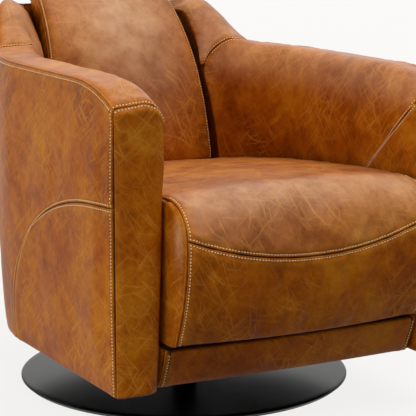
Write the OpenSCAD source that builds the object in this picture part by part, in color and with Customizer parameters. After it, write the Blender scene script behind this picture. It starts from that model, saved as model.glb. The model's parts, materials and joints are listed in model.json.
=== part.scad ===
// Leather swivel tub armchair on a round steel base.
// Millimetres. The origin is on the floor under the swivel axis, +Z is up and the chair faces -Y.

/* [Tub] */
// Outside radius of the tub in plan, half the width across its seams
tub_r = 350; // [335:5:370]
// From the swivel axis to the front of the arms
arm_reach = 425; // [405:5:440]
// Height of the underside of the upholstered body
body_z = 110; // [106:1:116]
// Height of the arm's crown
arm_h = 643; // [623:5:663]
// Thickness of an arm at its fullest
arm_t = 94; // [88:1:98]
// How far the padded outside stands proud of the seams
side_bulge = 12; // [6:1:16]
// Drop of the arm's nose from its crown to its front
nose_drop = 34; // [20:1:44]

/* [Back] */
// Rise of the wings above the arms
wing_rise = 84; // [70:1:92]
// How far the top of the shell leans behind its foot
back_lean = 118; // [100:2:126]
// From the tub's side to the pad's side at its foot
pad_inset = 168; // [164:1:178]
// How much the pad narrows on each side towards its top
pad_taper = 35; // [26:1:44]
// From the tub's outside at the rear to the pad's side seam at the seat
pad_depth = 129; // [124:1:136]
// Height of the pad's foot above the floor
pad_z = 394; // [390:1:404]
// Height of the pad's front above its foot, measured upwards
pad_rise = 354; // [344:2:360]
// Radius of the roll over the pad's top at its sides
pad_roll = 30; // [26:1:33]
// Crown of the pad's middle over its side seams
pad_crown = 28; // [14:1:30]

/* [Seat] */
// Gap between the seat's side seam and the arm's inner face
seat_gap = 11; // [9:1:20]
// Height of the seat's front edge
seat_h = 443; // [432:1:450]
// Fall of the seat from its front edge to its back
seat_drop = 61; // [56:1:68]
// From the swivel axis to the foremost bulge of the seat's front
seat_reach = 489; // [478:1:500]
// Crown of the seat's middle over its sides
seat_crown = 12; // [4:1:16]
// Height of the shadow gap between seat front and front rail
gap_z = 188; // [180:1:196]

/* [Leather and padding] */
// Leather with its wadding
cover_t = 12; // [8:1:12]
// Gap between neighbouring covers at a seam
seam_gap = 0.5; // [0.3:0.1:0.8]

/* [Timber frame] */
// Thickness of the frame's boards
board_t = 22; // [18:1:22]
// Depth of a post, front to back
post_d = 40; // [30:1:44]
// Height of the seat's webbing deck
deck_z = 275; // [262:1:282]
// Half width of the frame for the swivel plate: the cross rails' distance from the axis
rail_y = 90; // [84:1:96]

/* [Base] */
// Diameter of the base disc
base_d = 650; // [600:10:700]
// Thickness of the base disc at its rim
disc_t = 8; // [6:1:10]
// Thickness of the felt under the disc
felt_t = 3; // [2:0.5:4]
// Outside radius of the swivel column
column_r = 25; // [24:1:30]
// Radius of the swivel spindle
spindle_r = 15; // [12:1:16]
// Radius of the bearing balls
ball_r = 4; // [3:0.5:4.5]
// Number of bearing balls
ball_count = 16; // [10:1:18]
// Radius of the ball track
track_r = 45; // [43:1:48]
// Side of the square swivel plate
plate_w = 240; // [226:2:250]
// Thickness of the swivel plate
plate_t = 6; // [4:1:7]

/* [Hidden] */
$fn = 96;

leather = "#a5652c";
timber = "burlywood";
steel = "#303234";
bright_steel = "silver";
foam = "#e8dcb0";
cloth = "#26262a";

fit = 0.3;                        // clearance between soft pieces and what they lie on
running = 0.05;                   // radial clearance of a shaft in its bore
front_a = -arm_reach*180/PI/tub_r; // station of the arm front, in degrees of the tub's arc
nose_l = 160;                     // length over which the arm's nose falls
lean_z = 300;                     // height at which the shell starts to lean
lean_l = 420;                     // height over which the lean is measured
seam_drop = 9;                    // the outer top seam's depth under the crown
wing_a = 33.5;                    // station where the wings start to rise
wing_l = 16;                      // degrees over which they rise
pad_y = tub_r - pad_depth;        // the pad's side seam at the seat
pad_half = tub_r - pad_inset;     // half width of the pad at its foot
seat_half = tub_r - arm_t - seat_gap; // half width of the seat between its side seams
back_x = pad_half - 20;           // where the wings end, beside the pad's roll
back_a = acos(back_x/tub_r);      // station of the seam between side and back
board_d = cover_t + 2;            // from the tub's reference surface to the frame boards
board_in = board_d + board_t;     // the boards' inner face
rail_face = 104 - seat_reach;     // front of the front rails, behind the seat's bulge
hoop_drop = 84;                   // top of the upper hoop under the crown
hoop_h = 28;                      // height of the upper hoop
wing_dip = 8;                     // fall of the crown from the wings to the back
post_top = arm_h - nose_drop - seam_drop - 16;

// Shape functions of the tub. A station is an angle round the back; below zero it runs straight to the arm front.
function ramp(u) = let(t = min(1, max(0, u))) t*t*(3 - 2*t);
function lean(z) = z < lean_z ? 0 : back_lean*pow((z - lean_z)/lean_l, 2.2);
function share(t) = pow(sin(min(90, 1.5*min(t, 180 - t))), 2);
function station_y(a) = a < 0 ? a*PI/180*tub_r : tub_r*sin(a);
function tub(a, d, z) =
    let(r = tub_r - d, t = max(a, 0))
    [r*cos(t), (a < 0 ? station_y(a) : r*sin(t)) + lean(z)*share(t), z];
function nose(y) = let(u = (-y - (arm_reach - nose_l))/nose_l) u > 0 ? nose_drop*pow(u, 2) : 0;
function crest(a) =
    let(b = min(a, 180 - a)) arm_h - nose(station_y(b)) + wing_rise*ramp((b - wing_a)/wing_l) - wing_dip*ramp((b - wing_a - 19.5)/9);
function bulge(a, z, top) =
    let(h = (top - body_z)/2, u = abs(z - body_z - h)/h)
    side_bulge*(1 - pow(u, 2.4))*min(1, pow(max(a - front_a, 0)/10 + 0.02, 0.6));

// Seam of the lower side panel: a quarter of a squared ellipse.
patch_y = 17;
patch_l = patch_y + arm_reach - 16;
patch_z = body_z + 25;
patch_h = 302;
patch_n = 2.3;
function patch_seam(y) =
    let(u = min(1, max(0, (y + arm_reach - 16)/patch_l))) patch_z + patch_h*pow(1 - pow(u, patch_n), 1/patch_n);

// Front of the seat in its side seam: bulged below, a squared rounding above.
bulge_z = seat_h - 73;
corner_l = 81;
front_k = 0.00135;
function seat_front(z) =
    z < bulge_z ? -seat_reach + front_k*pow(z - bulge_z, 2)
                : -seat_reach + corner_l*(1 - pow(1 - pow(min(1, (z - bulge_z)/(seat_h - bulge_z)), 2.3), 1/2.3));
seat_y0 = -seat_reach + corner_l;
seat_y1 = pad_y + 31;
function seat_top(y) = seat_h - seat_drop*pow(max(0, y - seat_y0)/(seat_y1 - seat_y0), 1.5);
seat_corner_r = tub_r - 62;
seat_ease = 16;
function seat_side(y) =
    let(w = seat_half + 8*ramp((y - seat_y0 - seat_ease)/52)) y < 0 ? w : min(w, sqrt(pow(seat_corner_r, 2) - y*y));

// The pad's side seam, up the front and over the roll. It returns [y, z, normal y, normal z].
pad_k = 0.000000144;
function pad_front(h) = pad_y + 0.14*h + pad_k*pow(h, 3.5);
function pad_slope(h) = 0.14 + 3.5*pad_k*pow(h, 2.5);
roll_start = atan(pad_slope(pad_rise));
roll_y = pad_front(pad_rise) + pad_roll*cos(roll_start);
roll_z = pad_z + pad_rise - pad_roll*sin(roll_start);
function pad_seam(s) =
    s <= 1 ? let(h = s*pad_rise, a = atan(pad_slope(h))) [pad_front(h), pad_z + h, -cos(a), sin(a)]
           : let(a = roll_start + (s - 1)*(192 - roll_start)) [roll_y - pad_roll*cos(a), roll_z + pad_roll*sin(a), -cos(a), sin(a)];
function pad_width(s) = pad_half - pad_taper*pow(min(s, 1.15), 1.5);

// Rear line of the back foam, the front of the webbing and uprights.
rest_slope = 0.185;
function rest_y(z) = pad_y + 35 + (z - deck_z)*rest_slope;

// A panel between an outer and an inner grid of points. Its rows times its columns point outwards.
function two(a, b, c, d) = [[a, b, c], [a, c, d]];
module panel(outer, inner) {
    n = len(outer);
    m = len(outer[0]);
    o = n*m;
    e = (n - 1)*m;
    polyhedron(concat([for (r = outer) each r], [for (r = inner) each r]), concat(
        [for (i = [0:n - 2], j = [0:m - 2]) each two(i*m + j, i*m + j + 1, (i + 1)*m + j + 1, (i + 1)*m + j)],
        [for (i = [0:n - 2], j = [0:m - 2]) each two(o + i*m + j, o + (i + 1)*m + j, o + (i + 1)*m + j + 1, o + i*m + j + 1)],
        [for (j = [0:m - 2]) each two(j, o + j, o + j + 1, j + 1)],
        [for (j = [0:m - 2]) each two(e + j, e + j + 1, o + e + j + 1, o + e + j)],
        [for (i = [0:n - 2]) each two(i*m, (i + 1)*m, o + (i + 1)*m, o + i*m)],
        [for (i = [0:n - 2]) each two(i*m + m - 1, o + i*m + m - 1, o + (i + 1)*m + m - 1, (i + 1)*m + m - 1)]));
}
module left() { mirror([1, 0, 0]) children(); }
module pair() { children(); left() children(); }
module board(x0, x1, y0, y1, z0, z1) { translate([x0, y0, z0]) cube([x1 - x0, y1 - y0, z1 - z0]); }

// Base disc, column and bearing
column_z = felt_t + disc_t + 3;
race_t = 6;
race_gap = 6;
flange_t = 6;
race_z = body_z - race_gap - 2*race_t;
bush_r = column_r - 3;
flange_r = 75;
bolt_r = 4;
bolt_head_r = 6.5;
bolt_head_h = 5;
column_bolt_r = 55;
plate_bolt_x = plate_w/2 - 25;
ball_z = body_z - race_t - race_gap/2;

module floor_felt() { color("dimgray") cylinder(r = base_d/2 - 7, h = felt_t, $fn = 180); }
module base_disc() {
    z0 = felt_t;
    z1 = z0 + disc_t;
    r = base_d/2;
    color(steel) difference() {
        rotate_extrude($fn = 180)
        polygon([[0, z0], [r - 4, z0], [r, z0 + 3], [r, z1 - 2.5], [r - 2.5, z1 - 0.4], [r - 9, z1], [flange_r + 20, column_z], [0, column_z]]);
        for (i = [0:3]) rotate(45 + 90*i) translate([column_bolt_r, 0, z0 + 2]) cylinder(r = bolt_r + running, h = column_z);
    }
}
module base_column() {
    color(steel) difference() {
        union() {
            translate([0, 0, column_z]) cylinder(r = flange_r, h = flange_t);
            translate([0, 0, column_z]) cylinder(r = column_r, h = race_z - column_z);
            translate([0, 0, race_z - flange_t]) cylinder(r = track_r + 9, h = flange_t);
        }
        translate([0, 0, column_z - 1]) cylinder(r = bush_r, h = body_z);
        for (i = [0:3]) rotate(45 + 90*i) translate([column_bolt_r, 0, column_z - 1]) cylinder(r = bolt_r + 0.4, h = flange_t + 2);
    }
}
module column_bolts() {
    color(bright_steel)
    for (i = [0:3]) rotate(45 + 90*i) translate([column_bolt_r, 0, 0]) {
        translate([0, 0, felt_t + 2]) cylinder(r = bolt_r, h = column_z + flange_t - felt_t - 2);
        translate([0, 0, column_z + flange_t]) difference() {
            cylinder(r = bolt_head_r, h = bolt_head_h);
            translate([0, 0, bolt_head_h - 3]) cylinder(r = 3, h = 4, $fn = 6);
        }
    }
}
module bush(z, h) {
    color("ivory") translate([0, 0, z]) difference() {
        cylinder(r = bush_r - running, h = h);
        translate([0, 0, -1]) cylinder(r = spindle_r + running, h = h + 2);
    }
}
clip_z = column_z + 8;
clip_t = 2;
washer_t = 3;
bush_z = clip_z + clip_t + washer_t + 0.6;
bush_h = 22;
module lower_bush() { bush(bush_z, bush_h); }
module upper_bush() { bush(race_z - bush_h, bush_h); }
module race(z) {
    translate([0, 0, z]) cylinder(r = track_r + 9, h = race_t);
}
module ball_track() {
    translate([0, 0, ball_z]) rotate_extrude() translate([track_r, 0]) circle(r = ball_r + fit);
}
module lower_race() {
    color(bright_steel) difference() {
        race(race_z);
        translate([0, 0, race_z - 1]) cylinder(r = spindle_r + 2, h = race_t + 2);
        ball_track();
    }
}
module upper_race() {
    color(bright_steel) difference() {
        race(body_z - race_t);
        translate([0, 0, body_z - race_t - 1]) cylinder(r = spindle_r + running, h = race_t + 2);
        ball_track();
    }
}
module ball_cage() {
    t = race_gap - 3;
    color("goldenrod") translate([0, 0, ball_z - t/2]) difference() {
        cylinder(r = track_r + 7, h = t);
        translate([0, 0, -1]) cylinder(r = track_r - 7, h = t + 2);
        for (i = [0:ball_count - 1]) rotate(i*360/ball_count) translate([track_r, 0, -1]) cylinder(r = ball_r + 0.15, h = t + 2, $fn = 48);
    }
}
module bearing_balls() {
    color("white")
    for (i = [0:ball_count - 1]) rotate(i*360/ball_count) translate([track_r, 0, ball_z]) sphere(r = ball_r, $fn = 48);
}
module spindle() {
    color(bright_steel) difference() {
        translate([0, 0, clip_z - 4]) cylinder(r = spindle_r, h = body_z - clip_z + 4);
        translate([0, 0, clip_z]) difference() {
            cylinder(r = spindle_r + 1, h = clip_t);
            translate([0, 0, -1]) cylinder(r = spindle_r - 1.5, h = clip_t + 2);
        }
    }
}
module retaining_washer() {
    color(bright_steel) translate([0, 0, clip_z + clip_t]) difference() {
        cylinder(r = bush_r - 1.5, h = washer_t);
        translate([0, 0, -1]) cylinder(r = spindle_r + running, h = washer_t + 2);
    }
}
module retaining_clip() {
    color("dimgray") translate([0, 0, clip_z]) difference() {
        cylinder(r = bush_r - 3, h = clip_t);
        translate([0, 0, -1]) cylinder(r = spindle_r - 1.5, h = clip_t + 2);
        translate([0, -2, -1]) cube([bush_r, 4, clip_t + 2]);
    }
}
module bolt_places() {
    for (x = [-1, 1], y = [-1, 1]) translate([x*plate_bolt_x, y*rail_y, 0]) children();
}
module swivel_plate() {
    color(steel) difference() {
        translate([0, 0, body_z + plate_t/2]) cube([plate_w, plate_w, plate_t], center = true);
        bolt_places() translate([0, 0, body_z - 1]) cylinder(r = bolt_r + 0.4, h = plate_t + 2);
    }
}

// Timber frame
frame_z = body_z + plate_t;
rail_h = 60;
rail_w = 40;
tee_h = 12;
front_board_y = -(arm_reach - cover_t - 8);
rear_in = tub_r - board_in;
module plate_bolts() {
    color(bright_steel) bolt_places() {
        translate([0, 0, body_z]) cylinder(r = bolt_r, h = plate_t + rail_h - 1);
        translate([0, 0, body_z - bolt_head_h]) difference() {
            cylinder(r = bolt_head_r, h = bolt_head_h);
            translate([0, 0, -1]) cylinder(r = 3, h = 4, $fn = 6);
        }
    }
}
module tee_nuts() {
    color(bright_steel) bolt_places() translate([0, 0, frame_z + rail_h]) difference() {
        union() {
            cylinder(r = 10, h = 1.5);
            translate([0, 0, -tee_h]) cylinder(r = 5.5, h = tee_h);
        }
        translate([0, 0, -tee_h - 1]) cylinder(r = bolt_r + running, h = tee_h + 4);
    }
}
module cross_rail(half, y) {
    color(timber) difference() {
        board(-half, half, y - rail_w/2, y + rail_w/2, frame_z, frame_z + rail_h);
        bolt_places() {
            translate([0, 0, frame_z - 1]) cylinder(r = bolt_r + 0.4, h = rail_h + 2);
            translate([0, 0, frame_z + rail_h - tee_h]) cylinder(r = 5.5 + running, h = tee_h + 1);
        }
    }
}
module cross_rail_front() { cross_rail(rear_in, -rail_y); }
module cross_rail_rear() { cross_rail(sqrt(pow(rear_in, 2) - pow(rail_y + rail_w/2, 2)) - fit, rail_y); }
module front_rail_lower() { color(timber) board(-rear_in, rear_in, rail_face, rail_face + 30, body_z + 12, gap_z - 8); }
module front_rail_upper() { color(timber) board(-rear_in, rear_in, rail_face - 2, rail_face + 23, gap_z + 22, deck_z); }
rear_rail_y0 = pad_y + 14;
rear_rail_y1 = pad_y + 67;
module seat_rear_rail() {
    half = sqrt(pow(rear_in, 2) - pow(rear_rail_y1, 2)) - fit;
    color(timber) board(-half, half, rear_rail_y0, rear_rail_y1, deck_z - 40, deck_z);
}
module side_board(y0, y1, z0, z1) { board(rear_in, rear_in + board_t, y0, y1, z0, z1); }
post_y = front_board_y + post_d;
rear_post_y = -post_d + 4;
module front_posts() { color(timber) pair() side_board(front_board_y, post_y, frame_z, post_top); }
module rear_posts() { color(timber) pair() side_board(rear_post_y, 0, frame_z, post_top); }
module arm_base_rails() { color(timber) pair() side_board(post_y, rear_post_y, frame_z, frame_z + 70); }
module arm_middle_rails() { color(timber) pair() side_board(post_y, rear_post_y, deck_z - 30, deck_z + 2); }
module arm_top_rails() { color(timber) pair() side_board(post_y, rear_post_y, post_top - 45, post_top); }
module hoop(z, h) {
    color(timber) translate([0, 0, z]) rotate_extrude(angle = 180, $fn = 180)
    translate([rear_in + fit, 0]) square([board_t - 2, h]);
}
module back_hoop_lower() { hoop(frame_z, 60); }
module back_hoop_middle() { hoop(deck_z - 40, 40); }
module back_hoop_upper() {
    a = [for (i = [0:24]) i*7.5];
    function ring(d) = [for (t = a) [tub(t, d, crest(t) - hoop_drop - hoop_h), tub(t, d, crest(t) - hoop_drop)]];
    color(timber) panel(ring(board_d + 2), ring(board_in - 2));
}
upright_x = 100;
upright_w = 24;
upright_t = 30;
upright_top = arm_h + wing_rise - hoop_drop;
module back_uprights() {
    color(timber)
    for (x = [-upright_x, upright_x]) translate([x - upright_w/2, 0, 0]) rotate([90, 0, 90]) linear_extrude(upright_w)
    polygon([[rest_y(deck_z), deck_z], [rest_y(deck_z) + upright_t, deck_z],
             [rest_y(upright_top) + upright_t, upright_top], [rest_y(upright_top), upright_top]]);
}

// Webbing, foam and dust cover
web_t = 2;
module seat_webbing() {
    color(cloth) {
        for (i = [-1:1]) board(i*75 - 28, i*75 + 28, rail_face, rest_y(deck_z) - 2, deck_z, deck_z + web_t);
        for (y = [-300, -190, -80, 30]) board(-(rear_in + 16), rear_in + 16, y - 25, y + 25, deck_z + web_t, deck_z + 2*web_t);
    }
}
web_angle = atan(rest_slope);
module back_webbing() {
    color(cloth)
    for (z = [pad_z + 30:60:upright_top - 50]) translate([-(upright_x + 14), rest_y(z), z]) rotate([-web_angle, 0, 0])
    translate([0, -web_t, 0]) cube([2*(upright_x + 14), web_t, 45]);
}
lining = cover_t + 0.4;
foam_z = deck_z + 2*web_t;
module seat_foam() {
    apron = gap_z + 6;
    function side(p) = [p[1], p[2]];
    front = [for (i = [0:12]) side(seat_fore(seat_half, apron + i/12*(bulge_z - apron), lining + 0.6))];
    corner = [for (i = [1:8]) side(seat_fore(seat_half, bulge_z + i/8*(seat_h - 4 - bulge_z), lining + 3.5))];
    top = [for (i = [1:10]) side(seat_over(seat_half, seat_y0 + i/10*(seat_y1 - 4 - seat_y0), lining + (i < 3 ? 1.5 : 0.6)))];
    color(foam) intersection() {
        translate([-seat_half + 1, 0, 0]) rotate([90, 0, 90]) linear_extrude(2*seat_half - 2)
        polygon(concat(front, corner, top, [[seat_y1 - 4, foam_z], [rail_face - 2 - fit, foam_z], [rail_face - 2 - fit, apron]]));
        union() {
            translate([0, 0, apron - 1]) cylinder(r = seat_corner_r - 2, h = seat_h);
            board(-seat_half, seat_half, -seat_reach, 0, apron - 1, seat_h);
        }
    }
}
module back_foam() {
    foot = pad_z + 4;
    half = pad_half - pad_taper*pow(1.15, 1.5) - 3;
    rear = upright_top + 8;
    front = [for (i = [0:12]) let(p = pad_seam(i/12)) [p[0] - p[2]*lining, max(foot, p[1] - p[3]*lining)]];
    roll = [for (i = [1:8]) let(p = pad_seam(1 + 0.95*i/8)) [p[0] - p[2]*lining, p[1] - p[3]*lining]];
    color(foam) translate([-half, 0, 0]) rotate([90, 0, 90]) linear_extrude(2*half)
    polygon(concat(front, roll, [[roll_y - 12, roll_z - 30], [rest_y(rear) + 12, rear], [rest_y(rear) - web_t - fit, rear],
            [rest_y(foot) - web_t - fit, foot]]));
}
module dust_cover() {
    inset = 4;
    color(cloth) translate([0, 0, body_z - 2]) linear_extrude(2) difference() {
        union() {
            circle(r = tub_r - inset, $fn = 180);
            translate([-(tub_r - inset), rail_face]) square([2*(tub_r - inset), -rail_face]);
        }
        circle(r = plate_w/2 + 30);
    }
}

// Seat covers
front_rows = 10;
seam_z0 = bulge_z - 32;
function front_seam(x) = seam_z0 + 46*pow(abs(x)/seat_half, 2.1);
function seat_point(x, y, z, ny, nz, t) =
    let(u = x/seat_half, c = seat_crown*(1 - pow(u, 2))*(1 - 0.85*pow(max(0, (y - seat_y0)/(seat_y1 - seat_y0)), 2)) - t)
    [u*seat_side(y), y + ny*c, z + nz*c];
function seat_fore(x, z, t) =
    let(dy = seat_front(z + 1) - seat_front(z - 1), l = norm([dy, 2])) seat_point(x, seat_front(z), z, -2/l, dy/l, t);
function seat_over(x, y, t) = seat_point(x, y, seat_top(y), 0, 1, t);
seat_cols = [for (i = [-8:8]) i/8*seat_half];
function top_row(x, t) = concat(
    [for (k = [0:6]) let(z0 = front_seam(x) + seam_gap) seat_fore(x, z0 + k/6*(seat_h - 4 - z0), t)],
    [for (k = [0:14]) seat_over(x, seat_y0 + k/14*(seat_y1 - seat_y0), t)]);
module seat_top_panel() {
    color(leather) panel([for (x = seat_cols) top_row(x, 0)], [for (x = seat_cols) top_row(x, cover_t)]);
}
function fore_row(x, t) = [for (k = [0:6]) seat_fore(x, gap_z + 2 + k/6*(front_seam(x) - gap_z - 2), t)];
module seat_front_panel() {
    color(leather) panel([for (x = seat_cols) fore_row(x, 0)], [for (x = seat_cols) fore_row(x, cover_t)]);
}
gusset_t = 8;
module seat_gusset() {
    y1 = -arm_reach + 30;
    rows = [for (k = [0:10]) gap_z + 2 + k/10*(seat_h - cover_t - 1.2 - gap_z - 2)];
    function line(j, x) = [for (z = rows) let(y0 = seat_front(z) + 3) [seat_half + x, y0 + j*(y1 - y0), z]];
    color(leather) panel([line(0, 3), line(0.12, gusset_t - 2), line(0.4, gusset_t), line(1, gusset_t - 1)],
                         [for (j = [0, 0.12, 0.4, 1]) line(j, fit)]);
}
module seat_gusset_right() { seat_gusset(); }
module seat_gusset_left() { left() seat_gusset(); }
module front_rail_cover() {
    half = seat_half + 11;
    cols = [for (i = [-6:6]) i/6*half];
    zs = [for (k = [0:5]) body_z + k/5*(gap_z - 4 - body_z)];
    foot = seat_front(gap_z) + 9;
    function face(x, z) = foot + 0.44*(gap_z - 5 - z) - 8*(1 - pow(x/half, 2)) + 6*pow(abs(2*(z - body_z)/(gap_z - 4 - body_z) - 1), 4);
    color(leather) panel([for (x = cols) [for (z = zs) [x, face(x, z), z]]],
                         [for (x = cols) [for (z = zs) [x, rail_face - fit, z]]]);
}

// Back pad
pad_s = [for (i = [0:12]) i/12, for (i = [1:9]) 1 + i/9];
function pad_point(u, s, t) =
    let(p = pad_seam(s), c = pad_crown*(1 - pow(u, 2)) - t) [u*pad_width(s), p[0] + p[2]*c, max(p[1] + p[3]*c, s < 0.1 ? pad_z : 0)];
module back_pad_panel() {
    cols = [for (i = [-7:7]) i/7];
    color(leather) panel([for (u = cols) [for (s = pad_s) pad_point(u, s, 0)]],
                         [for (u = cols) [for (s = pad_s) pad_point(u, s, cover_t)]]);
}
module back_gusset() {
    depth = 34;
    s_list = [for (i = [0:12]) i/12, for (i = [1:6]) 1 + i/6*0.95];
    function reach(s, w) = lining + 0.4 + w*(s < 1 ? depth : min(depth, pad_roll - 2 - lining));
    function line(w, x) = [for (s = s_list) let(p = pad_seam(s), d = reach(s, w))
        [x > 0 ? pad_width(s) - 1 + 2*sin(180*w) : pad_half - pad_taper*pow(1.15, 1.5) - 2.6, p[0] - p[2]*d, p[1] - p[3]*d]];
    color(leather) panel([for (w = [0, 0.3, 0.7, 1]) line(w, 1)], [for (w = [0, 0.3, 0.7, 1]) line(w, 0)]);
}
module back_gusset_right() { back_gusset(); }
module back_gusset_left() { left() back_gusset(); }

// Arm, wing and side covers, right side as modelled, left side mirrored.
// Sections across the arm and the wing: depth from the outside, height under the crown.
arm_roll = [[0, -seam_drop], [4, -6.5], [14, -4.5], [30, -2.2], [48, 0], [60, 0.5], [72, -2.5], [83, -12], [90, -28], [94, -54]];
wing_roll = [[0, -seam_drop], [4, -4], [11, -1], [20, 0], [30, -2], [41, -10], [50, -23.5], [58, -43], [66, -66], [72, -93]];
face_k = [0.18, 0.45, 0.72, 1];
front_depth = [[body_z, 82], [186, 87.5], [308, 90.5], [430, 94], [505, 99], [573, 98], [612, 97]];
function inner_depth(y, z) =
    let(rear = 94 - 0.032*max(0, arm_h - 60 - z), g = ramp((-y - 300)/90)) arm_t/94*(rear + g*(lookup(z, front_depth) - rear));
function turn(a) = ramp((min(a, 180 - a) - 34)/12);
function roll_point(a, j) = let(t = inner_depth(station_y(a), arm_h - 60)/94) arm_roll[j] + turn(a)*(wing_roll[j] - arm_roll[j]) + [arm_roll[j][0]*(t - 1)*(1 - turn(a)), 0];
rows = len(arm_roll) + len(face_k);
function over(z, low, j) = max(z, low + rows - 1 - j);
function arm_outer(a, low, sink) =
    let(h = crest(a) - sink, m = len(arm_roll), last = roll_point(a, m - 1))
    concat([for (j = [0:m - 1]) let(p = roll_point(a, j)) tub(a, p[0], over(h + p[1], low, j))],
           [for (j = [m:rows - 1]) let(k = face_k[j - m], z = over(h + last[1] + k*(low - h - last[1]), low, j))
               tub(a, (1 - turn(a))*inner_depth(station_y(a), z) + turn(a)*(72 + 6*k), z)]);
function lining_point(a, j) =
    let(p = roll_point(a, j), d = board_in + fit)
    j < 3 ? [[2, 7, 15][j], -seam_drop - seam_gap] : [min(d, max(15.5, p[0] + 1)), -20 - 0.45*min(d, p[0]) - (p[0] > 50 ? (p[0] - 50)*0.35 : 0)];
function arm_inner(a, low, sink) =
    let(h = crest(a), m = len(arm_roll))
    concat([for (j = [0:m - 1]) let(p = lining_point(a, j)) tub(a, p[0], over(h + p[1] - (j < 3 ? 0 : sink), low, j))],
           [for (j = [m:rows - 1]) let(k = face_k[j - m], z0 = h - 60 - sink) tub(a, board_in + fit, over(z0 + k*(low - z0), low, j))]);
arm_low = 383;
diag_y = -257;
diag_z = 436;
diag_k = 0.878;
function diag(y) = max(arm_low, diag_z - diag_k*(y - diag_y));
function foot(a) = a < 8 ? diag(station_y(a)) + seam_gap : max(arm_low, seat_top((tub_r - 84)*sin(a)) + 3);
arm_start = front_a + 13*180/PI/tub_r;
hub_a = asin(patch_y/tub_r);
function start_a(j) = front_a + (j < 2 ? 2.2 : 13)*180/PI/tub_r;
seam_row = 10;
wing_x = [for (j = [0:rows - 1]) back_x + (j < 4 ? 0 : j < 7 ? (j - 3)*5 : j < 11 ? 15 : 16 + (j - 10)*3)];
function row_depth(j) = j < len(wing_roll) ? wing_roll[j][0] : 72 + 6*face_k[j - len(wing_roll)];
function end_a(j) = acos(wing_x[j]/(tub_r - row_depth(j)));
function split(j) = j < 6 ? 35 : j == 6 ? 36.7 : j == 7 ? 38.7 : j == 8 ? 41.7 : j == 9 ? 45 : j == 10 ? end_a(j) - 1.2 : end_a(j);
arm_n = 18;
module arm_cover() {
    function a_of(i, j) = i < 11 ? start_a(j) + (hub_a - start_a(j))*i/10 : hub_a + (split(j) - hub_a)*(i - 10)/8;
    color(leather) panel(
        [for (i = [0:arm_n]) [for (j = [0:rows - 1]) let(a = a_of(i, j)) arm_outer(a, foot(a), low_sink(a, j))[j]]],
        [for (i = [0:arm_n]) [for (j = [0:rows - 1]) let(a = a_of(i, j)) arm_inner(a, foot(a), low_sink(a, j) + (i == arm_n && j > 5 ? 1.6 : 0))[j]]]);
}
module arm_cover_right() { arm_cover(); }
module arm_cover_left() { left() arm_cover(); }
function low_sink(a, j) = j > seam_row ? 0 : sink(a, j);
function sink(a, j) = j == 0 ? 0 : j == 1 ? 5*ramp((a - 52)/10) : j == 2 ? 9*ramp((a - 52)/10) : 22*ramp((a - 48)/12);
module wing_cover() {
    n = 6;
    function a_of(i, j) = let(b = split(j) + 0.12) b + (end_a(j) - b)*i/n;
    color(leather) panel(
        [for (i = [0:n]) [for (j = [0:seam_row]) let(a = a_of(i, j)) arm_outer(a, foot(a), sink(a, j))[j]]],
        [for (i = [0:n]) [for (j = [0:seam_row]) let(a = a_of(i, j)) arm_inner(a, foot(a), sink(a, j))[j]]]);
}
module wing_cover_right() { wing_cover(); }
module wing_cover_left() { left() wing_cover(); }

// Leather that tucks in between the side and the back pad, from the covers' end to the pad's wall.
tuck_l = 14;
tuck_t = 7;
function pad_wall(z) = pad_width(max(0, z - pad_z)/pad_rise) + 2.5;
function tuck_end(z, d) = let(x = pad_wall(z), r = tub_r - d) [x, sqrt(r*r - x*x) + lean(z)*share(acos(x/r)), z];
module tuck_strip() {
    function start(j) = let(a = end_a(j)) arm_outer(a, foot(a), low_sink(a, j))[j] + [-1.2, 2, 0];
    function line(j, t) = let(p = start(j)) [p + [0, t, 0], tuck_end(p[2], row_depth(j) - tuck_l - t)];
    color(leather) panel([for (j = [rows - 2:-1:5]) line(j, 0)], [for (j = [rows - 2:-1:5]) line(j, j == 5 ? 2 : tuck_t)]);
}
module tuck_strip_right() { tuck_strip(); }
module tuck_strip_left() { left() tuck_strip(); }

fold_z = diag_z + diag_k*(arm_reach - 12.6 + diag_y);      // where the inner seam meets the arm's front
step_z = diag_z + diag_k*(diag_y - front_board_y) - fit;   // where it passes the frame's face
function end_y(z) = z > diag_z ? diag_y - (z - diag_z)/diag_k : z > arm_low ? diag_y + (diag_z - z)/diag_k : rail_face - 4;
function front_top(d) = crest(arm_start) + lookup(d, [for (j = [0:len(arm_roll) - 1]) roll_point(arm_start, j)]);
module arm_front() {
    f = -arm_reach;
    levels = [0:14];
    function z_of(k, d) = k < 10 ? body_z + k/9*(step_z - 2 - body_z) : k == 10 ? step_z : k == 11 ? fold_z
        : k == 12 ? fold_z + 0.5*(front_top(d) - fold_z) : k == 13 ? front_top(d) - 6 : front_top(d) - 1;
    function fold(k) = k == 14 ? 8 : k == 13 ? 2 : 0;
    function point(k, d, y) = let(z = z_of(k, min(d, inner_depth(f, arm_h - 43) - 8))) [tub_r - d, y, z];
    function face(k) =
        let(z = z_of(k, 50), w = inner_depth(f, z), e = max(end_y(z) - 0.6, f + 12.6), q = fold(k))
        [[0.5, f + 0.8], [4, f - 2.5 + 0.4*q], [14, f - 5 + q], [36, f - 6.5 + q], [62, f - 6 + q], [w - 11, f - 2 + q], [w - 3.5, f + 4 + 0.4*q],
         [w - 0.5, f + 11], [w, (f + 12.4 + e)/2], [w, e]];
    function back(k) =
        let(z = z_of(k, 50), w = inner_depth(f, z), e = max(end_y(z) - 0.6, f + 12.6), b = k < 10 ? front_board_y - fit : f + 12)
        [[0.5, f + 1.3], [4, f + 1.4], [13.9, f + 1.4], [14.3, b], [w - 30, b], [w - 18, b], [w - 14.5, b], [w - 13, b],
         [w - cover_t, (max(b, f + 12.4) + e)/2], [w - cover_t, e]];
    color(leather) panel([for (k = levels) [for (p = face(k)) point(k, p[0], p[1])]],
                         [for (k = levels) [for (p = back(k)) point(k, p[0], p[1])]]);
}
module arm_front_right() { arm_front(); }
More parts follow.
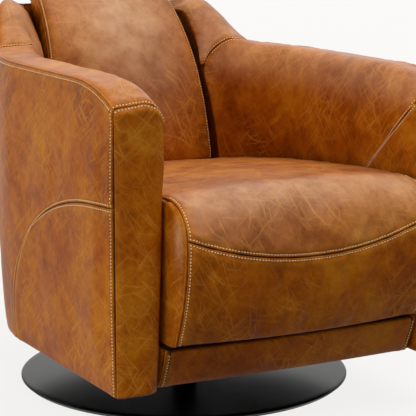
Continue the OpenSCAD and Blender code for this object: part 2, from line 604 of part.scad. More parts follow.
module arm_front_left() { left() arm_front(); }

panel_d = board_d - fit;
function ease(t) = -arm_reach + 16 + patch_l*pow(sin(90*t), 2/patch_n);
patch_a = [start_a(0), for (i = [1:10]) let(y = ease(i/10)) y < 0 ? y*180/PI/tub_r : asin(y/tub_r)];
rear_a = concat([for (i = [1:8]) hub_a + (35.06 - hub_a)*i/8], [for (i = [1:6]) 35.12 + (back_a - 35.12)*i/6]);
function side_point(a, z, d) = tub(a, d - (d > 0 ? 0 : bulge(a, z, crest(a) - seam_drop)), z);
module lower_side_panel() {
    function column(a, d) = [for (k = [0:5]) side_point(a, body_z + k/5*(patch_seam(station_y(a)) - body_z), d)];
    color(leather) panel([for (a = patch_a) column(a, 0)], [for (a = patch_a) column(a, panel_d)]);
}
module lower_side_panel_right() { lower_side_panel(); }
module lower_side_panel_left() { left() lower_side_panel(); }
module side_panel() {
    low_a = concat(patch_a, rear_a);
    top_a = concat([for (i = [0:10]) start_a(0) + (hub_a - start_a(0))*i/10], rear_a);
    n = len(patch_a);
    function low(i, a) = i < n ? patch_seam(station_y(a)) + seam_gap : body_z;
    function column(i, d) =
        let(l = low(i, low_a[i]))
        [for (k = [0:7]) let(a = low_a[i] + k/7*(top_a[i] - low_a[i])) side_point(a, l + k/7*(crest(a) - seam_drop - 2*seam_gap - l), d)];
    color(leather) panel([for (i = [0:len(low_a) - 1]) column(i, 0)], [for (i = [0:len(low_a) - 1]) column(i, panel_d)]);
}
module side_panel_right() { side_panel(); }
module side_panel_left() { left() side_panel(); }
back_top = crest(90) - seam_drop - seam_gap;
module back_outer_panel() {
    cols = [for (i = [0:12]) back_a + 0.1 + i/12*(180 - 2*back_a - 0.2)];
    function point(a, z, d) = tub(a, d - (d > 0 ? 0 : bulge(a > 90 ? 180 - a : a, z, back_top)), z);
    function column(a, d) = [for (k = [0:8]) point(a, body_z + k/8*(back_top - body_z), d)];
    color(leather) panel([for (a = cols) column(a, 0)], [for (a = cols) column(a, panel_d)]);
}

floor_felt();
base_disc();
base_column();
column_bolts();
lower_bush();
upper_bush();
lower_race();
ball_cage();
bearing_balls();
upper_race();
spindle();
retaining_washer();
retaining_clip();
swivel_plate();
plate_bolts();
tee_nuts();
cross_rail_front();
cross_rail_rear();
front_rail_lower();
front_rail_upper();
seat_rear_rail();
front_posts();
rear_posts();
arm_base_rails();
arm_middle_rails();
arm_top_rails();
back_hoop_lower();
back_hoop_middle();
back_hoop_upper();
back_uprights();
seat_webbing();
back_webbing();
seat_foam();
back_foam();
dust_cover();
seat_top_panel();
seat_front_panel();
seat_gusset_left();
seat_gusset_right();
front_rail_cover();
back_pad_panel();
back_gusset_left();
back_gusset_right();
arm_cover_left();
arm_cover_right();
arm_front_left();
arm_front_right();
side_panel_left();
side_panel_right();
lower_side_panel_left();
lower_side_panel_right();
wing_cover_left();
wing_cover_right();
tuck_strip_left();
tuck_strip_right();
back_outer_panel();
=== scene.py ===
import bpy
import json
import numpy as np
from functools import partial
from math import radians, sin, cos, pi
from mathutils import Matrix, Vector


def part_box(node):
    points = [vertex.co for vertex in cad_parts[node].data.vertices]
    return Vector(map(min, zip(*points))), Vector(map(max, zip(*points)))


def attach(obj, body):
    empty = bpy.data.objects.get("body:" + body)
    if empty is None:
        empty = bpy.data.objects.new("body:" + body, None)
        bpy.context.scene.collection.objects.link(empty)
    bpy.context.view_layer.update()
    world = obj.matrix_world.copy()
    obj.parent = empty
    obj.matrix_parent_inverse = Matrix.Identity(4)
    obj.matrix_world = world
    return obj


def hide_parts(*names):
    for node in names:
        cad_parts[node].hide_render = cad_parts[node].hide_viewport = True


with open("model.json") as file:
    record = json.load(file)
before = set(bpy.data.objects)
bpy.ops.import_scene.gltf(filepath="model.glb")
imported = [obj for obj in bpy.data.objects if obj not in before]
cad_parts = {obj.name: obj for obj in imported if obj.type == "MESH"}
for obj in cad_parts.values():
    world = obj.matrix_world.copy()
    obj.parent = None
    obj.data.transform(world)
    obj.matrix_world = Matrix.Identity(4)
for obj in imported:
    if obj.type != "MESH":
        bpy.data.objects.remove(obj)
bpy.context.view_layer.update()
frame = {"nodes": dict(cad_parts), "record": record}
print("frame loaded:", len(frame["nodes"]), "nodes")

# Lengths in this script are millimetres until a mesh is made.
mm = 0.001
left = -1
right = 1


def corners(node):
    lo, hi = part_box(node)
    return np.array(lo) / mm, np.array(hi) / mm


def ramp(u):
    u = np.clip(u, 0.0, 1.0)
    return u * u * (3 - 2 * u)


def dsin(a):
    return np.sin(np.radians(a))


def dcos(a):
    return np.cos(np.radians(a))


def hump(d, high, at, wide):
    return high * np.exp(-((d - at) / wide) ** 2)


def gridOf(x, y, z):
    return np.stack(np.broadcast_arrays(x, y, z), -1)


def placed(name, data):
    thing = bpy.data.objects.new(name, data)
    bpy.context.scene.collection.objects.link(thing)
    return thing


# Camera at the photograph's place: solved from the round base, the arm edges and the level seams.
# Its place is in metres, and its focal length in pixels of the frame's width.
camera = {"place": (-1.546, -2.986, 0.980), "turn": 28.19, "tilt": 10.83, "focal": 1735.6, "frame": 416,
          "sensor": 36}


def makeCamera(c):
    turn, tilt = radians(c["turn"]), radians(c["tilt"])
    ahead = Vector((sin(turn) * cos(tilt), cos(turn) * cos(tilt), -sin(tilt)))
    across = Vector((cos(turn), -sin(turn), 0))
    data = bpy.data.cameras.new("camera")
    data.sensor_width = c["sensor"]
    data.lens = c["focal"] / c["frame"] * c["sensor"]
    eye = placed("camera", data)
    turned = Matrix((across, across.cross(ahead), -ahead)).transposed().to_4x4()
    eye.matrix_world = Matrix.Translation(Vector(c["place"])) @ turned
    bpy.context.scene.camera = eye


makeCamera(camera)


# Colours are sRGB hex values, turned to linear here.
def hexColor(code):
    parts = [int(code[i:i + 2], 16) / 255 for i in (1, 3, 5)]
    return tuple(c / 12.92 if c <= 0.04045 else ((c + 0.055) / 1.055) ** 2.4 for c in parts) + (1.0,)


def addNode(tree, kind, inputs=None, output=0, stops=None, **settings):
    node = tree.nodes.new(kind)
    for name, value in settings.items():
        setattr(node, name, value)
    for key, value in (inputs or {}).items():
        if isinstance(value, bpy.types.NodeSocket):
            tree.links.new(value, node.inputs[key])
        else:
            node.inputs[key].default_value = value
    while stops and len(node.color_ramp.elements) < len(stops):
        node.color_ramp.elements.new(0.5)
    for mark, (place, color) in zip(node.color_ramp.elements if stops else [], stops or []):
        mark.position = place
        mark.color = hexColor(color) if isinstance(color, str) else (color, color, color, 1)
    return node.outputs[output]


def newMaterial(name, roughness, metallic=0.0, **sockets):
    # Starts a material: Specular_IOR_Level stands for the shader's Specular IOR Level, and so on.
    material = bpy.data.materials.new(name)
    material.use_nodes = True
    shader = material.node_tree.nodes["Principled BSDF"]
    for key, value in {"Roughness": roughness, "Metallic": metallic, **sockets}.items():
        shader.inputs[key.replace("_", " ")].default_value = value
    add = partial(addNode, material.node_tree)
    return material, add, add("ShaderNodeTexCoord", output="Object")


def finished(material, **sockets):
    # Links a material's last nodes to its shader.
    shader = material.node_tree.nodes["Principled BSDF"]
    for key, value in sockets.items():
        material.node_tree.links.new(value, shader.inputs[key.replace("_", " ")])
    return material


noiseKind, mathKind, rampKind = "ShaderNodeTexNoise", "ShaderNodeMath", "ShaderNodeValToRGB"
mapKind, bumpKind, mixKind = "ShaderNodeMapping", "ShaderNodeBump", "ShaderNodeMix"

# pale is the colour of the painted sheen; seam darkens the seam lines and is also the painted shade in gaps.
# A layer is leant by its first angle and then turned about Z by its second.
hide = {"dark": "#8A3E02", "mid": "#AE5A04", "light": "#C67911", "scar": "#DE9B3A", "pale": "#DDB18C",
        "seam": "#2A1204", "cloudMm": 210, "mottleMm": 44, "patchMm": 12, "bendMm": 60, "netMm": 58,
        "fineNetMm": 21, "scratchMm": 4.0, "scratchRatio": 24, "hiddenMm": 120, "speckMm": 3.4,
        "grainMm": 1.5, "roughness": 0.38, "scarMix": 0.6,
        "layers": ((55, 40), (52, 142), (48, -52), (62, -128), (36, 72), (73, 24), (66, -24))}


def pullUpLeather(name, look):
    # Pull-up cowhide: waxed full-grain hide, clouded brown, paler where it is scratched, and drawn paler by a
    # painted sheen on its tops and highlights.
    material, add, place = newMaterial(name, look["roughness"], Specular_IOR_Level=0.07)
    clouds, mottle, patches = (
        add(noiseKind, {"Vector": place, "Scale": 1000 / look[key], "Detail": 4.0, "Roughness": rough}, "Fac")
        for key, rough in (("cloudMm", 0.5), ("mottleMm", 0.62), ("patchMm", 0.65)))
    tone = add(mathKind, {0: clouds, 1: 0.46}, operation="MULTIPLY")
    tone = add(mathKind, {0: mottle, 1: 0.36, 2: tone}, operation="MULTIPLY_ADD")
    tone = add(mathKind, {0: patches, 1: 0.18, 2: tone}, operation="MULTIPLY_ADD")
    shades = [(0.41, look["dark"]), (0.52, look["mid"]), (0.64, look["light"])]
    color = add(rampKind, {"Fac": tone}, stops=shades)
    # Growth lines of the hide: broken pale veins along bent cell edges, coarse and fine.
    bend = add(noiseKind, {"Vector": place, "Scale": 1000 / look["bendMm"], "Detail": 2.0}, "Color")
    bent, waved = (add("ShaderNodeVectorMath", {0: bend, 1: (far, far, far), 2: place},
                       operation="MULTIPLY_ADD") for far in (0.035, 0.012))
    marks = None
    for key, thin, low, most in (("netMm", 0.02, 0.42, 0.85), ("fineNetMm", 0.035, 0.5, 0.45)):
        cells = add("ShaderNodeTexVoronoi", {"Vector": bent, "Scale": 1000 / look[key]}, "Distance",
                    feature="DISTANCE_TO_EDGE")
        veins = add(rampKind, {"Fac": cells}, stops=[(0.0, 1.0), (thin, 0.3), (2.5 * thin, 0.0)])
        where = add(noiseKind, {"Vector": place, "Scale": 900 / look[key], "Detail": 4.0}, "Fac")
        where = add(rampKind, {"Fac": where}, stops=[(low, 0.0), (low + 0.15, most)])
        veins = add(mathKind, {0: veins, 1: where}, operation="MULTIPLY")
        marks = veins if marks is None else add(mathKind, {0: marks, 1: veins}, operation="MAXIMUM")
    # Long fine scratches: thin leaning layers, which every face of the chair cuts as lines.
    wide = look["scratchRatio"]
    for k, (tilt, spin) in enumerate(look["layers"]):
        lay = add(mapKind, {"Vector": waved, "Rotation": (0, radians(tilt), radians(spin)),
                            "Location": (0.13 * k, 0, 0), "Scale": (wide, wide, 1)}, vector_type="TEXTURE")
        line = add(noiseKind, {"Vector": lay, "Scale": 1000 / look["scratchMm"], "Detail": 2.0}, "Fac")
        line = add(rampKind, {"Fac": line}, stops=[(0.62, 0.0), (0.7, 0.75)])
        marks = add(mathKind, {0: marks, 1: line}, operation="MAXIMUM")
    hidden = add(noiseKind, {"Vector": place, "Scale": 1000 / look["hiddenMm"], "Detail": 2.0}, "Fac")
    hidden = add(rampKind, {"Fac": hidden}, stops=[(0.4, 0.2), (0.62, 1.0)])
    marks = add(mathKind, {0: marks, 1: hidden}, operation="MULTIPLY")
    mixed = add(mathKind, {0: marks, 1: look["scarMix"]}, operation="MULTIPLY")
    color = add(mixKind, {0: mixed, 6: color, 7: hexColor(look["scar"])}, 2, data_type="RGBA")
    # Grain and pores, drawn coarser than the hide's own 0.8 mm so that they show.
    grain = add("ShaderNodeTexVoronoi", {"Vector": place, "Scale": 1000 / look["grainMm"]}, "Distance",
                feature="SMOOTH_F1")
    speck = add(noiseKind, {"Vector": place, "Scale": 1000 / look["speckMm"], "Detail": 3.0,
                            "Roughness": 0.7}, "Fac")
    shade = add(rampKind, {"Fac": speck}, stops=[(0.28, 0.82), (0.5, 1.0), (0.75, 1.08)])
    color = add(mixKind, {0: 1.0, 6: color, 7: shade}, 2, data_type="RGBA", blend_type="MULTIPLY")
    # The covers' meshes say where the seams run, with painted shade deep in gaps, where they are rubbed, and
    # where the painted sheen lies.
    seamLineAndShade, rubbed, paintedSheen = (add("ShaderNodeAttribute", output="Fac", attribute_name=key)
                                 for key in ("seamLineAndShade", "rubbed", "paintedSheen"))
    rubbed = add(mathKind, {0: rubbed, 1: 0.3}, operation="MULTIPLY")
    uneven = add(mathKind, {0: mottle, 1: 1.9}, operation="MULTIPLY")
    paintedSheen = add(mathKind, {0: paintedSheen, 1: uneven}, operation="MULTIPLY")
    # Rubbed edges take the scar colour, the painted sheen the pale colour, and seam lines with painted shade
    # the seam colour.
    for much, key in ((rubbed, "scar"), (paintedSheen, "pale"), (seamLineAndShade, "seam")):
        color = add(mixKind, {0: much, 6: color, 7: hexColor(look[key])}, 2, data_type="RGBA")
    gloss = add(mathKind, {0: mottle, 1: 0.24, 2: look["roughness"] - 0.12}, operation="MULTIPLY_ADD")
    gloss = add(mathKind, {0: marks, 1: 0.1, 2: gloss}, operation="MULTIPLY_ADD")
    relief = speck
    for part, much in ((grain, 0.5), (patches, 1.1), (marks, -0.4)):
        relief = add(mathKind, {0: part, 1: much, 2: relief}, operation="MULTIPLY_ADD")
    bump = add(bumpKind, {"Height": relief, "Distance": 0.9 * mm, "Strength": 0.35})
    return finished(material, Base_Color=color, Roughness=gloss, Normal=bump)


def waxedThread(name):
    # Bonded polyester thread: cream, twisted, with a slight wax gloss.
    material, add, place = newMaterial(name, 0.55, Sheen_Weight=0.2)
    fibre = add(noiseKind, {"Vector": place, "Scale": 1000 / 1.6}, "Fac")
    color = add(rampKind, {"Fac": fibre}, stops=[(0.35, "#F2CE92"), (0.6, "#FFEDC4")])
    bump = add(bumpKind, {"Height": fibre, "Distance": 0.2 * mm, "Strength": 0.4})
    return finished(material, Base_Color=color, Normal=bump)


def coated(name, color, paler, roughness):
    # Powder coat on steel, or moulded nylon: an even gloss with a faint orange peel and haze.
    material, add, place = newMaterial(name, roughness, Specular_IOR_Level=0.2, IOR=1.25)
    haze = add(noiseKind, {"Vector": place, "Scale": 1000 / 110, "Detail": 4.0}, "Fac")
    peel = add(noiseKind, {"Vector": place, "Scale": 1000 / 3.5}, "Fac")
    tone = add(rampKind, {"Fac": haze}, stops=[(0.35, color), (0.7, paler)])
    gloss = add(mathKind, {0: haze, 1: 0.06, 2: roughness - 0.03}, operation="MULTIPLY_ADD")
    bump = add(bumpKind, {"Height": peel, "Distance": 0.03 * mm, "Strength": 0.1})
    return finished(material, Base_Color=tone, Roughness=gloss, Normal=bump)


def bareMetal(name, dark, pale, roughness, lineMm):
    # Ground, plated or stamped metal: fine tool lines and a cloudy tarnish.
    material, add, place = newMaterial(name, roughness, 1.0)
    lay = add(mapKind, {"Vector": place, "Scale": (1.0, 1.0, 14.0)})
    lines = add(noiseKind, {"Vector": lay, "Scale": 100 / lineMm, "Detail": 3.0}, "Fac")
    stain = add(noiseKind, {"Vector": place, "Scale": 1000 / 25, "Detail": 4.0}, "Fac")
    tone = add(rampKind, {"Fac": stain}, stops=[(0.3, dark), (0.65, pale)])
    gloss = add(mathKind, {0: lines, 1: 0.2, 2: roughness - 0.1}, operation="MULTIPLY_ADD")
    bump = add(bumpKind, {"Height": lines, "Distance": 0.03 * mm, "Strength": 0.2})
    return finished(material, Base_Color=tone, Roughness=gloss, Normal=bump)


def sawnTimber(name):
    # Sawn beech: straight grain and short dark flecks, rougher than planed wood.
    material, add, place = newMaterial(name, 0.7)
    lay = add(mapKind, {"Vector": place, "Scale": (9.0, 1.0, 9.0)})
    grain = add(noiseKind, {"Vector": lay, "Scale": 1000 / 60, "Detail": 5.0, "Distortion": 0.5}, "Fac")
    flecks = add(noiseKind, {"Vector": lay, "Scale": 1000 / 14}, "Fac")
    tone = add(rampKind, {"Fac": grain}, stops=[(0.3, "#A97F50"), (0.55, "#C89F6C"), (0.75, "#DDBB8A")])
    shade = add(rampKind, {"Fac": flecks}, stops=[(0.3, 0.72), (0.45, 1.0)])
    tone = add(mixKind, {0: 1.0, 6: tone, 7: shade}, 2, data_type="RGBA", blend_type="MULTIPLY")
    bump = add(bumpKind, {"Height": grain, "Distance": 0.3 * mm, "Strength": 0.3})
    return finished(material, Base_Color=tone, Normal=bump)


def fibreCloth(name, dark, pale, threadMm):
    # Woven, felted or bonded fibre: threads across each other under a soft nap.
    material, add, place = newMaterial(name, 0.9, Sheen_Weight=0.25)
    bands = [add("ShaderNodeTexWave", {"Vector": place, "Scale": 50 / threadMm, "Distortion": 0.4},
                 "Fac", bands_direction=axis) for axis in ("X", "Y")]
    fuzz = add(noiseKind, {"Vector": place, "Scale": 400 / threadMm, "Detail": 3.0}, "Fac")
    weave = add(mathKind, {0: bands[0], 1: bands[1]}, operation="MULTIPLY")
    tone = add(mathKind, {0: weave, 1: 0.7, 2: fuzz}, operation="MULTIPLY_ADD")
    color = add(rampKind, {"Fac": tone}, stops=[(0.35, dark), (1.0, pale)])
    bump = add(bumpKind, {"Height": tone, "Distance": 0.3 * mm, "Strength": 0.4})
    return finished(material, Base_Color=color, Normal=bump)


def openFoam(name):
    # Cut polyurethane foam: pale cream with open cells, drawn at 2 mm so that they show.
    material, add, place = newMaterial(name, 0.95)
    cells = add("ShaderNodeTexVoronoi", {"Vector": place, "Scale": 1000 / 2.2}, "Distance")
    color = add(rampKind, {"Fac": cells}, stops=[(0.05, "#B8A468"), (0.4, "#E8DCAC")])
    bump = add(bumpKind, {"Height": cells, "Distance": 0.6 * mm, "Strength": 0.6})
    return finished(material, Base_Color=color, Normal=bump)


leather = pullUpLeather("pull-up leather", hide)
thread = waxedThread("waxed thread")
finishes = {
    "base": coated("gloss black powder coat", "#040404", "#070707", 0.2),
    "felt": fibreCloth("pressed felt", "#0C0C0D", "#1A1A1C", 1.2),
    "bearing_steel": bareMetal("ground bearing steel", "#9A9CA0", "#C2C4C8", 0.28, 0.4),
    "fixings": bareMetal("zinc-plated steel", "#84878C", "#B4B7BC", 0.4, 0.8),
    "bushes": coated("moulded nylon", "#C9C4AE", "#D9D4C2", 0.45),
    "cage": bareMetal("stamped brass", "#9A7A38", "#C8A458", 0.35, 0.6),
    "timber": sawnTimber("sawn beech"),
    "webbing": fibreCloth("elastic webbing", "#15120F", "#3A332C", 2.0),
    "foam": openFoam("cut foam"),
    "dust_cloth": fibreCloth("non-woven dust cloth", "#0B0B0C", "#1D1D1F", 0.9),
    "leather": leather,
}
slotOf = {part["node"]: part["material_slot"] for part in frame["record"]["subparts"]}
for nodeName, nodeObject in frame["nodes"].items():
    nodeObject.data.materials.clear()
    nodeObject.data.materials.append(finishes[slotOf[nodeName]])
print("materials ready")


# The tub's shape, from the frame's own corners. Its wall runs straight along the arm, then round the back.
# A place along it is an angle in degrees from the right, which goes below nought along the arm.
sideLow = corners("side_panel_right")[0]
armLow, armHigh = corners("arm_cover_right")
tub = {"radius": armHigh[0], "reach": 2.2 - armLow[1], "foot": sideLow[2], "armTop": 643.0, "armWide": 94.0,
       "bulge": 12.0, "noseDrop": 34.0, "noseLong": 160.0, "wingRise": 84.0, "wingAt": 33.5, "wingOver": 16.0,
       "wingDip": 8.0, "dipAfter": 19.5, "dipOver": 9.0, "wingDeep": 72.0, "wingSpread": 6.0, "lean": 118.0,
       "leanFrom": 300.0, "leanOver": 420.0, "seamDrop": 9.0, "backX": 162.0, "hubY": 17.0}
# The diagonal seam low on the arm, which ends the arm cover: a point on it, its fall and how low it goes.
slant = {"y": -257.0, "z": 436.0, "fall": 0.878, "low": 383.0, "bendZ": 396.0, "foreY": -389.0,
         "rearA": 8.0, "seatHalf": 266.0}
seat = {"half": 245.0, "crown": 12.0, "gapZ": 188.0, "top": 443.0, "reach": 489.0, "bulgeZ": 370.0,
        "levelY": -408.0, "deep": 660.0, "fall": 61.0, "rollDeep": 81.0, "power": 2.3, "under": 0.00135,
        "seamLow": 338.0, "seamRise": 46.0, "flare": 8.0, "flareY": -392.0, "flareOver": 52.0,
        "inside": 288.0}
frontA = -np.degrees(tub["reach"] / tub["radius"])
startA = frontA + np.degrees(1.8 / tub["radius"])
backA = np.degrees(np.arccos(tub["backX"] / tub["radius"]))
hubA = np.degrees(np.arcsin(tub["hubY"] / tub["radius"]))


def lean(z):  # how far the wall leans back at a height
    return tub["lean"] * (np.maximum(z - tub["leanFrom"], 0) / tub["leanOver"]) ** 2.2


def share(a):  # how much of that lean a place along the wall has: none at the arms, all at the back
    return dsin(np.minimum(90, 1.5 * np.minimum(a, 180 - a))) ** 2


def stationY(a):
    return np.where(a < 0, np.radians(a) * tub["radius"], tub["radius"] * dsin(a))


def onTub(a, depth, z):
    r, t = tub["radius"] - depth, np.maximum(a, 0)
    y = np.where(a < 0, stationY(a), r * dsin(t)) + lean(z) * share(t)
    return gridOf(r * dcos(t), y, z)


def crest(a):  # the height of the wall's top
    b = np.minimum(a, 180 - a)
    u = np.maximum((-stationY(b) - (tub["reach"] - tub["noseLong"])) / tub["noseLong"], 0)
    rise = (tub["wingRise"] * ramp((b - tub["wingAt"]) / tub["wingOver"])
            - tub["wingDip"] * ramp((b - tub["wingAt"] - tub["dipAfter"]) / tub["dipOver"]))
    return tub["armTop"] - tub["noseDrop"] * u ** 2 + rise


def sideBulge(a, z, top):
    half = (top - tub["foot"]) / 2
    u = np.clip(np.abs(z - tub["foot"] - half) / half, 0, 1)
    return tub["bulge"] * (1 - u ** 2.4) * np.minimum(1, (np.maximum(a - frontA, 0) / 10 + 0.02) ** 0.6)


# The rolls over the arm and the wing, from the outside inwards: how deep in, and how far above the crest.
armRoll = np.array([[0, -9], [4, -6.5], [14, -4.5], [30, -2.2], [48, 0],
                    [60, 0.5], [72, -2.5], [83, -12], [90, -28], [94, -54]], float)
wingRoll = np.array([[0, -9], [4, -4], [11, -1], [20, 0], [30, -2],
                     [41, -10], [50, -23.5], [58, -43], [66, -66], [72, -93]], float)
faceShare = [0.18, 0.45, 0.72, 1.0]
# How thick the arm is near its front, by height, and how it thins downwards from the foot of its roll.
armThick = {"z": [110, 186, 308, 430, 505, 573, 612], "deep": [82, 87.5, 90.5, 94, 99, 98, 97],
            "thinning": 0.032, "foreY": -300.0, "over": 90.0}
rollFoot = tub["armTop"] - 60
rowCount = len(armRoll) + len(faceShare)


def innerDepth(y, z):
    rear = tub["armWide"] - armThick["thinning"] * np.maximum(0, rollFoot - z)
    front = np.interp(z, armThick["z"], armThick["deep"])
    return rear + ramp((armThick["foreY"] - y) / armThick["over"]) * (front - rear)


def turnIn(a):  # nought on the arm, one on the wing
    return ramp((np.minimum(a, 180 - a) - 34) / 12)


def seatTop(y):
    return seat["top"] - seat["fall"] * (np.maximum(0, y - seat["levelY"]) / seat["deep"]) ** 1.5


def diagonal(y):
    return np.maximum(slant["low"], slant["z"] - slant["fall"] * (y - slant["y"]))


def footZ(a):  # where the arm cover and the wing cover end below
    besideSeat = np.maximum(slant["low"], seatTop(slant["seatHalf"] * dsin(np.maximum(a, 0))) + 3)
    return np.where(a < slant["rearA"], diagonal(stationY(a)) + 0.5, besideSeat)


def rollPoint(a, j):
    wide = innerDepth(stationY(a), rollFoot) / tub["armWide"]
    t = turnIn(a)
    return (armRoll[j, 0] * (1 + (wide - 1) * (1 - t)) + t * (wingRoll[j, 0] - armRoll[j, 0]),
            armRoll[j, 1] + t * (wingRoll[j, 1] - armRoll[j, 1]))


def sectionPoint(a, j, sunk=0.0):
    low, top = footZ(a), crest(a) - sunk
    if j < len(armRoll):
        depth, drop = rollPoint(a, j)
        z = np.maximum(top + drop, low + rowCount - 1 - j)
    else:
        k = faceShare[j - len(armRoll)]
        last = top + rollPoint(a, len(armRoll) - 1)[1]
        z = np.maximum(last + k * (low - last), low + rowCount - 1 - j)
        wingSide = tub["wingDeep"] + tub["wingSpread"] * k
        depth = (1 - turnIn(a)) * innerDepth(stationY(a), z) + turnIn(a) * wingSide
    return onTub(a, depth, z)


def wingX(j):  # how far out the wing cover ends beside the pad, for each line of the roll
    return tub["backX"] + (0 if j < 4 else (j - 3) * 5 if j < 7 else 15 if j < 11 else 16 + (j - 10) * 3)


def rowDepth(j):
    if j < len(wingRoll):
        return wingRoll[j, 0]
    return tub["wingDeep"] + tub["wingSpread"] * faceShare[j - len(wingRoll)]


def endA(j):
    return float(np.degrees(np.arccos(wingX(j) / (tub["radius"] - rowDepth(j)))))


def splitA(j):  # where the arm cover is sewn to the wing cover
    return 35 if j < 6 else {6: 36.7, 7: 38.7, 8: 41.7, 9: 45}.get(j, endA(j) - (1.2 if j == 10 else 0))


def sinkOf(a, j):  # how far the wing's lines sink towards the pad
    if j == 0:
        return 0 * a
    if j < 3:
        return (5, 9)[j - 1] * ramp((a - 52) / 10)
    return 22 * ramp((a - 48) / 12)


# Grids: every cover is a grid of points, sampled smoothly and drawn finer at its edges.
def gridFaces(ids):
    return np.stack([ids[:-1, :-1], ids[1:, :-1], ids[1:, 1:], ids[:-1, 1:]], -1).reshape(-1, 4)


def smoothRows(points, count):
    # A smooth curve through the section points of each line, spaced by that line's own lengths.
    out = np.empty((len(points), count, 3))
    for k, line in enumerate(points):
        gaps = np.maximum(np.linalg.norm(np.diff(line, axis=0), axis=1), 0.4)
        knots = np.concatenate([[0], np.cumsum(gaps)])
        slopes = np.diff(line, axis=0) / gaps[:, None]
        tangents = np.empty_like(line)
        tangents[0], tangents[-1] = slopes[0], slopes[-1]
        before, after = gaps[:-1, None], gaps[1:, None]
        tangents[1:-1] = (slopes[:-1] * after + slopes[1:] * before) / (before + after)
        at = np.linspace(0, knots[-1], count)
        seg = np.clip(np.searchsorted(knots, at, "right") - 1, 0, len(gaps) - 1)
        h = gaps[seg]
        t = (at - knots[seg]) / h
        a, b, c, d = 2 * t**3 - 3 * t**2 + 1, t**3 - 2 * t**2 + t, -2 * t**3 + 3 * t**2, t**3 - t**2
        out[k] = (line[seg] * a[:, None] + tangents[seg] * (b * h)[:, None]
                  + line[seg + 1] * c[:, None] + tangents[seg + 1] * (d * h)[:, None])
    return out


def padded(grid):
    grid = np.concatenate([2 * grid[:1] - grid[1:2], grid, 2 * grid[-1:] - grid[-2:-1]], 0)
    return np.concatenate([2 * grid[:, :1] - grid[:, 1:2], grid, 2 * grid[:, -1:] - grid[:, -2:-1]], 1)


def weights(t):  # for a smooth curve through four points
    square, cube = t**2, t**3
    return np.stack([-cube + 2 * square - t, 3 * cube - 5 * square + 2,
                     -3 * cube + 4 * square + t, cube - square]) / 2


def sampled(grid, rows, cols):
    full = padded(grid)
    i = np.clip(np.floor(rows).astype(int), 0, grid.shape[0] - 2)
    j = np.clip(np.floor(cols).astype(int), 0, grid.shape[1] - 2)
    wr, wc = weights(rows - i), weights(cols - j)
    out = np.zeros(rows.shape + (grid.shape[2],))
    for m in range(4):
        for n in range(4):
            out += full[i + m, j + n] * (wr[m] * wc[n])[..., None]
    return out


edgeSteps = [0, 0.7, 1.4, 2.2, 3.2, 4.2, 5.0, 5.8, 7.0, 9.0, 12.0, 16.0]
seamStep = edgeSteps.index(5.0)


def distances(length, step):
    # Places across a cover, close together at both edges, where its seams are.
    steps = np.array(edgeSteps)
    if length < 4 * steps[-1]:
        steps = steps * length / (4 * steps[-1])
    count = max(3, int(round((length - 2 * steps[-1]) / step)) + 1)
    middle = np.linspace(steps[-1], length - steps[-1], count)
    return np.concatenate([steps[:-1], middle, length - steps[:-1][::-1]])


def arcLengths(grid):
    gaps = np.linalg.norm(np.diff(grid, axis=0), axis=2)
    return np.concatenate([np.zeros((1, grid.shape[1])), np.cumsum(gaps, 0)], 0)


def rowPlaces(lengths, wanted, mean):
    # For each line, the row index that lies at each wanted distance; edges keep their true distance.
    edge = edgeSteps[-1]
    out = np.empty((len(wanted), lengths.shape[1]))
    for k in range(lengths.shape[1]):
        total = lengths[-1, k]
        stretch = np.clip((wanted - edge) / max(mean - 2 * edge, 1e-6), 0, 1)
        true = wanted + (total - mean) * stretch
        keep = min(1.0, max(0.0, (total - 3.2 * edge) / edge))
        at = keep * true + (1 - keep) * wanted * total / mean
        out[:, k] = np.interp(at, lengths[:, k], np.arange(len(lengths)))
    return out


def normalsOf(grid):
    du = np.gradient(grid, axis=0)
    dv = np.gradient(grid, axis=1)
    n = np.cross(du, dv)
    size = np.linalg.norm(n, axis=2, keepdims=True)
    bad = size[..., 0] < 1e-9
    n = n / np.maximum(size, 1e-9)
    if bad.any():
        n[bad] = n[~bad].mean(0)
    return n


randomWaves = np.random.default_rng(7)
waveDirections = randomWaves.normal(size=(60, 3))
waveDirections /= np.linalg.norm(waveDirections, axis=1, keepdims=True)
wavePhases = randomWaves.uniform(0, 2 * pi, 60)


def softNoise(points, sizeMm, first=0, count=12):
    # Smooth lumps of about one size, from waves in fixed directions.
    out = np.zeros(points.shape[:-1])
    for k in range(first, first + count):
        stretch = 0.7 + 0.6 * ((k * 0.618) % 1)
        out += np.sin(points @ waveDirections[k % 60] * (2 * pi / (sizeMm * stretch)) + wavePhases[k % 60])
    return out / np.sqrt(count / 2)


# What a seam does to the leather beside it: how strongly, how far from the seam, and over what width.
seam = {"edge": (0.75, 2.6, 1.5), "fullness": (1.2, 13, 7), "pulledIn": (0.55, 5, 1.2), "valley": 1.25,
        "rubbedEdge": (0.8, 2.8, 1.3), "rubbedFullness": (0.3, 12, 5)}
# The leather's unevenness: how high, how wide, and the first of the waves that make it.
lumpSizes = ((0.55, 170, 0), (0.28, 62, 14), (0.10, 26, 30))


def seamProfile(d, depth):
    # The leather dives into the seam, then swells past the stitch line, which is pulled in a little.
    puff = hump(d, *seam["edge"]) + hump(d, *seam["fullness"])
    return hump(d, -depth, 0, seam["valley"]) + (puff - hump(d, *seam["pulledIn"])) * ramp(d / 2.2)


def tuckProfile(d, size):
    # The leather rounds off and disappears behind its neighbour.
    return -size * (1 - np.sqrt(np.clip(1 - (1 - np.clip(d / size, 0, 1)) ** 2, 0, 1)))


def segmentDistance(points, start, end):
    start, end = np.array(start, float), np.array(end, float)
    along = end - start
    t = np.clip(((points - start) @ along) / (along @ along), -0.2, 1.2)
    near = start + t[..., None] * along
    return np.linalg.norm(points - near, axis=-1), t


def creaseHeight(points, creases):
    out = np.zeros(points.shape[:-1])
    for start, end, wide, deep in creases:
        d, t = segmentDistance(points, start, end)
        fade = ramp(1 - np.abs(2 * t - 1) ** 3)
        out += fade * deep * (hump(d, 0.65, 2.2 * wide, 1.3 * wide) - hump(d, 1, 0, wide))
    return out


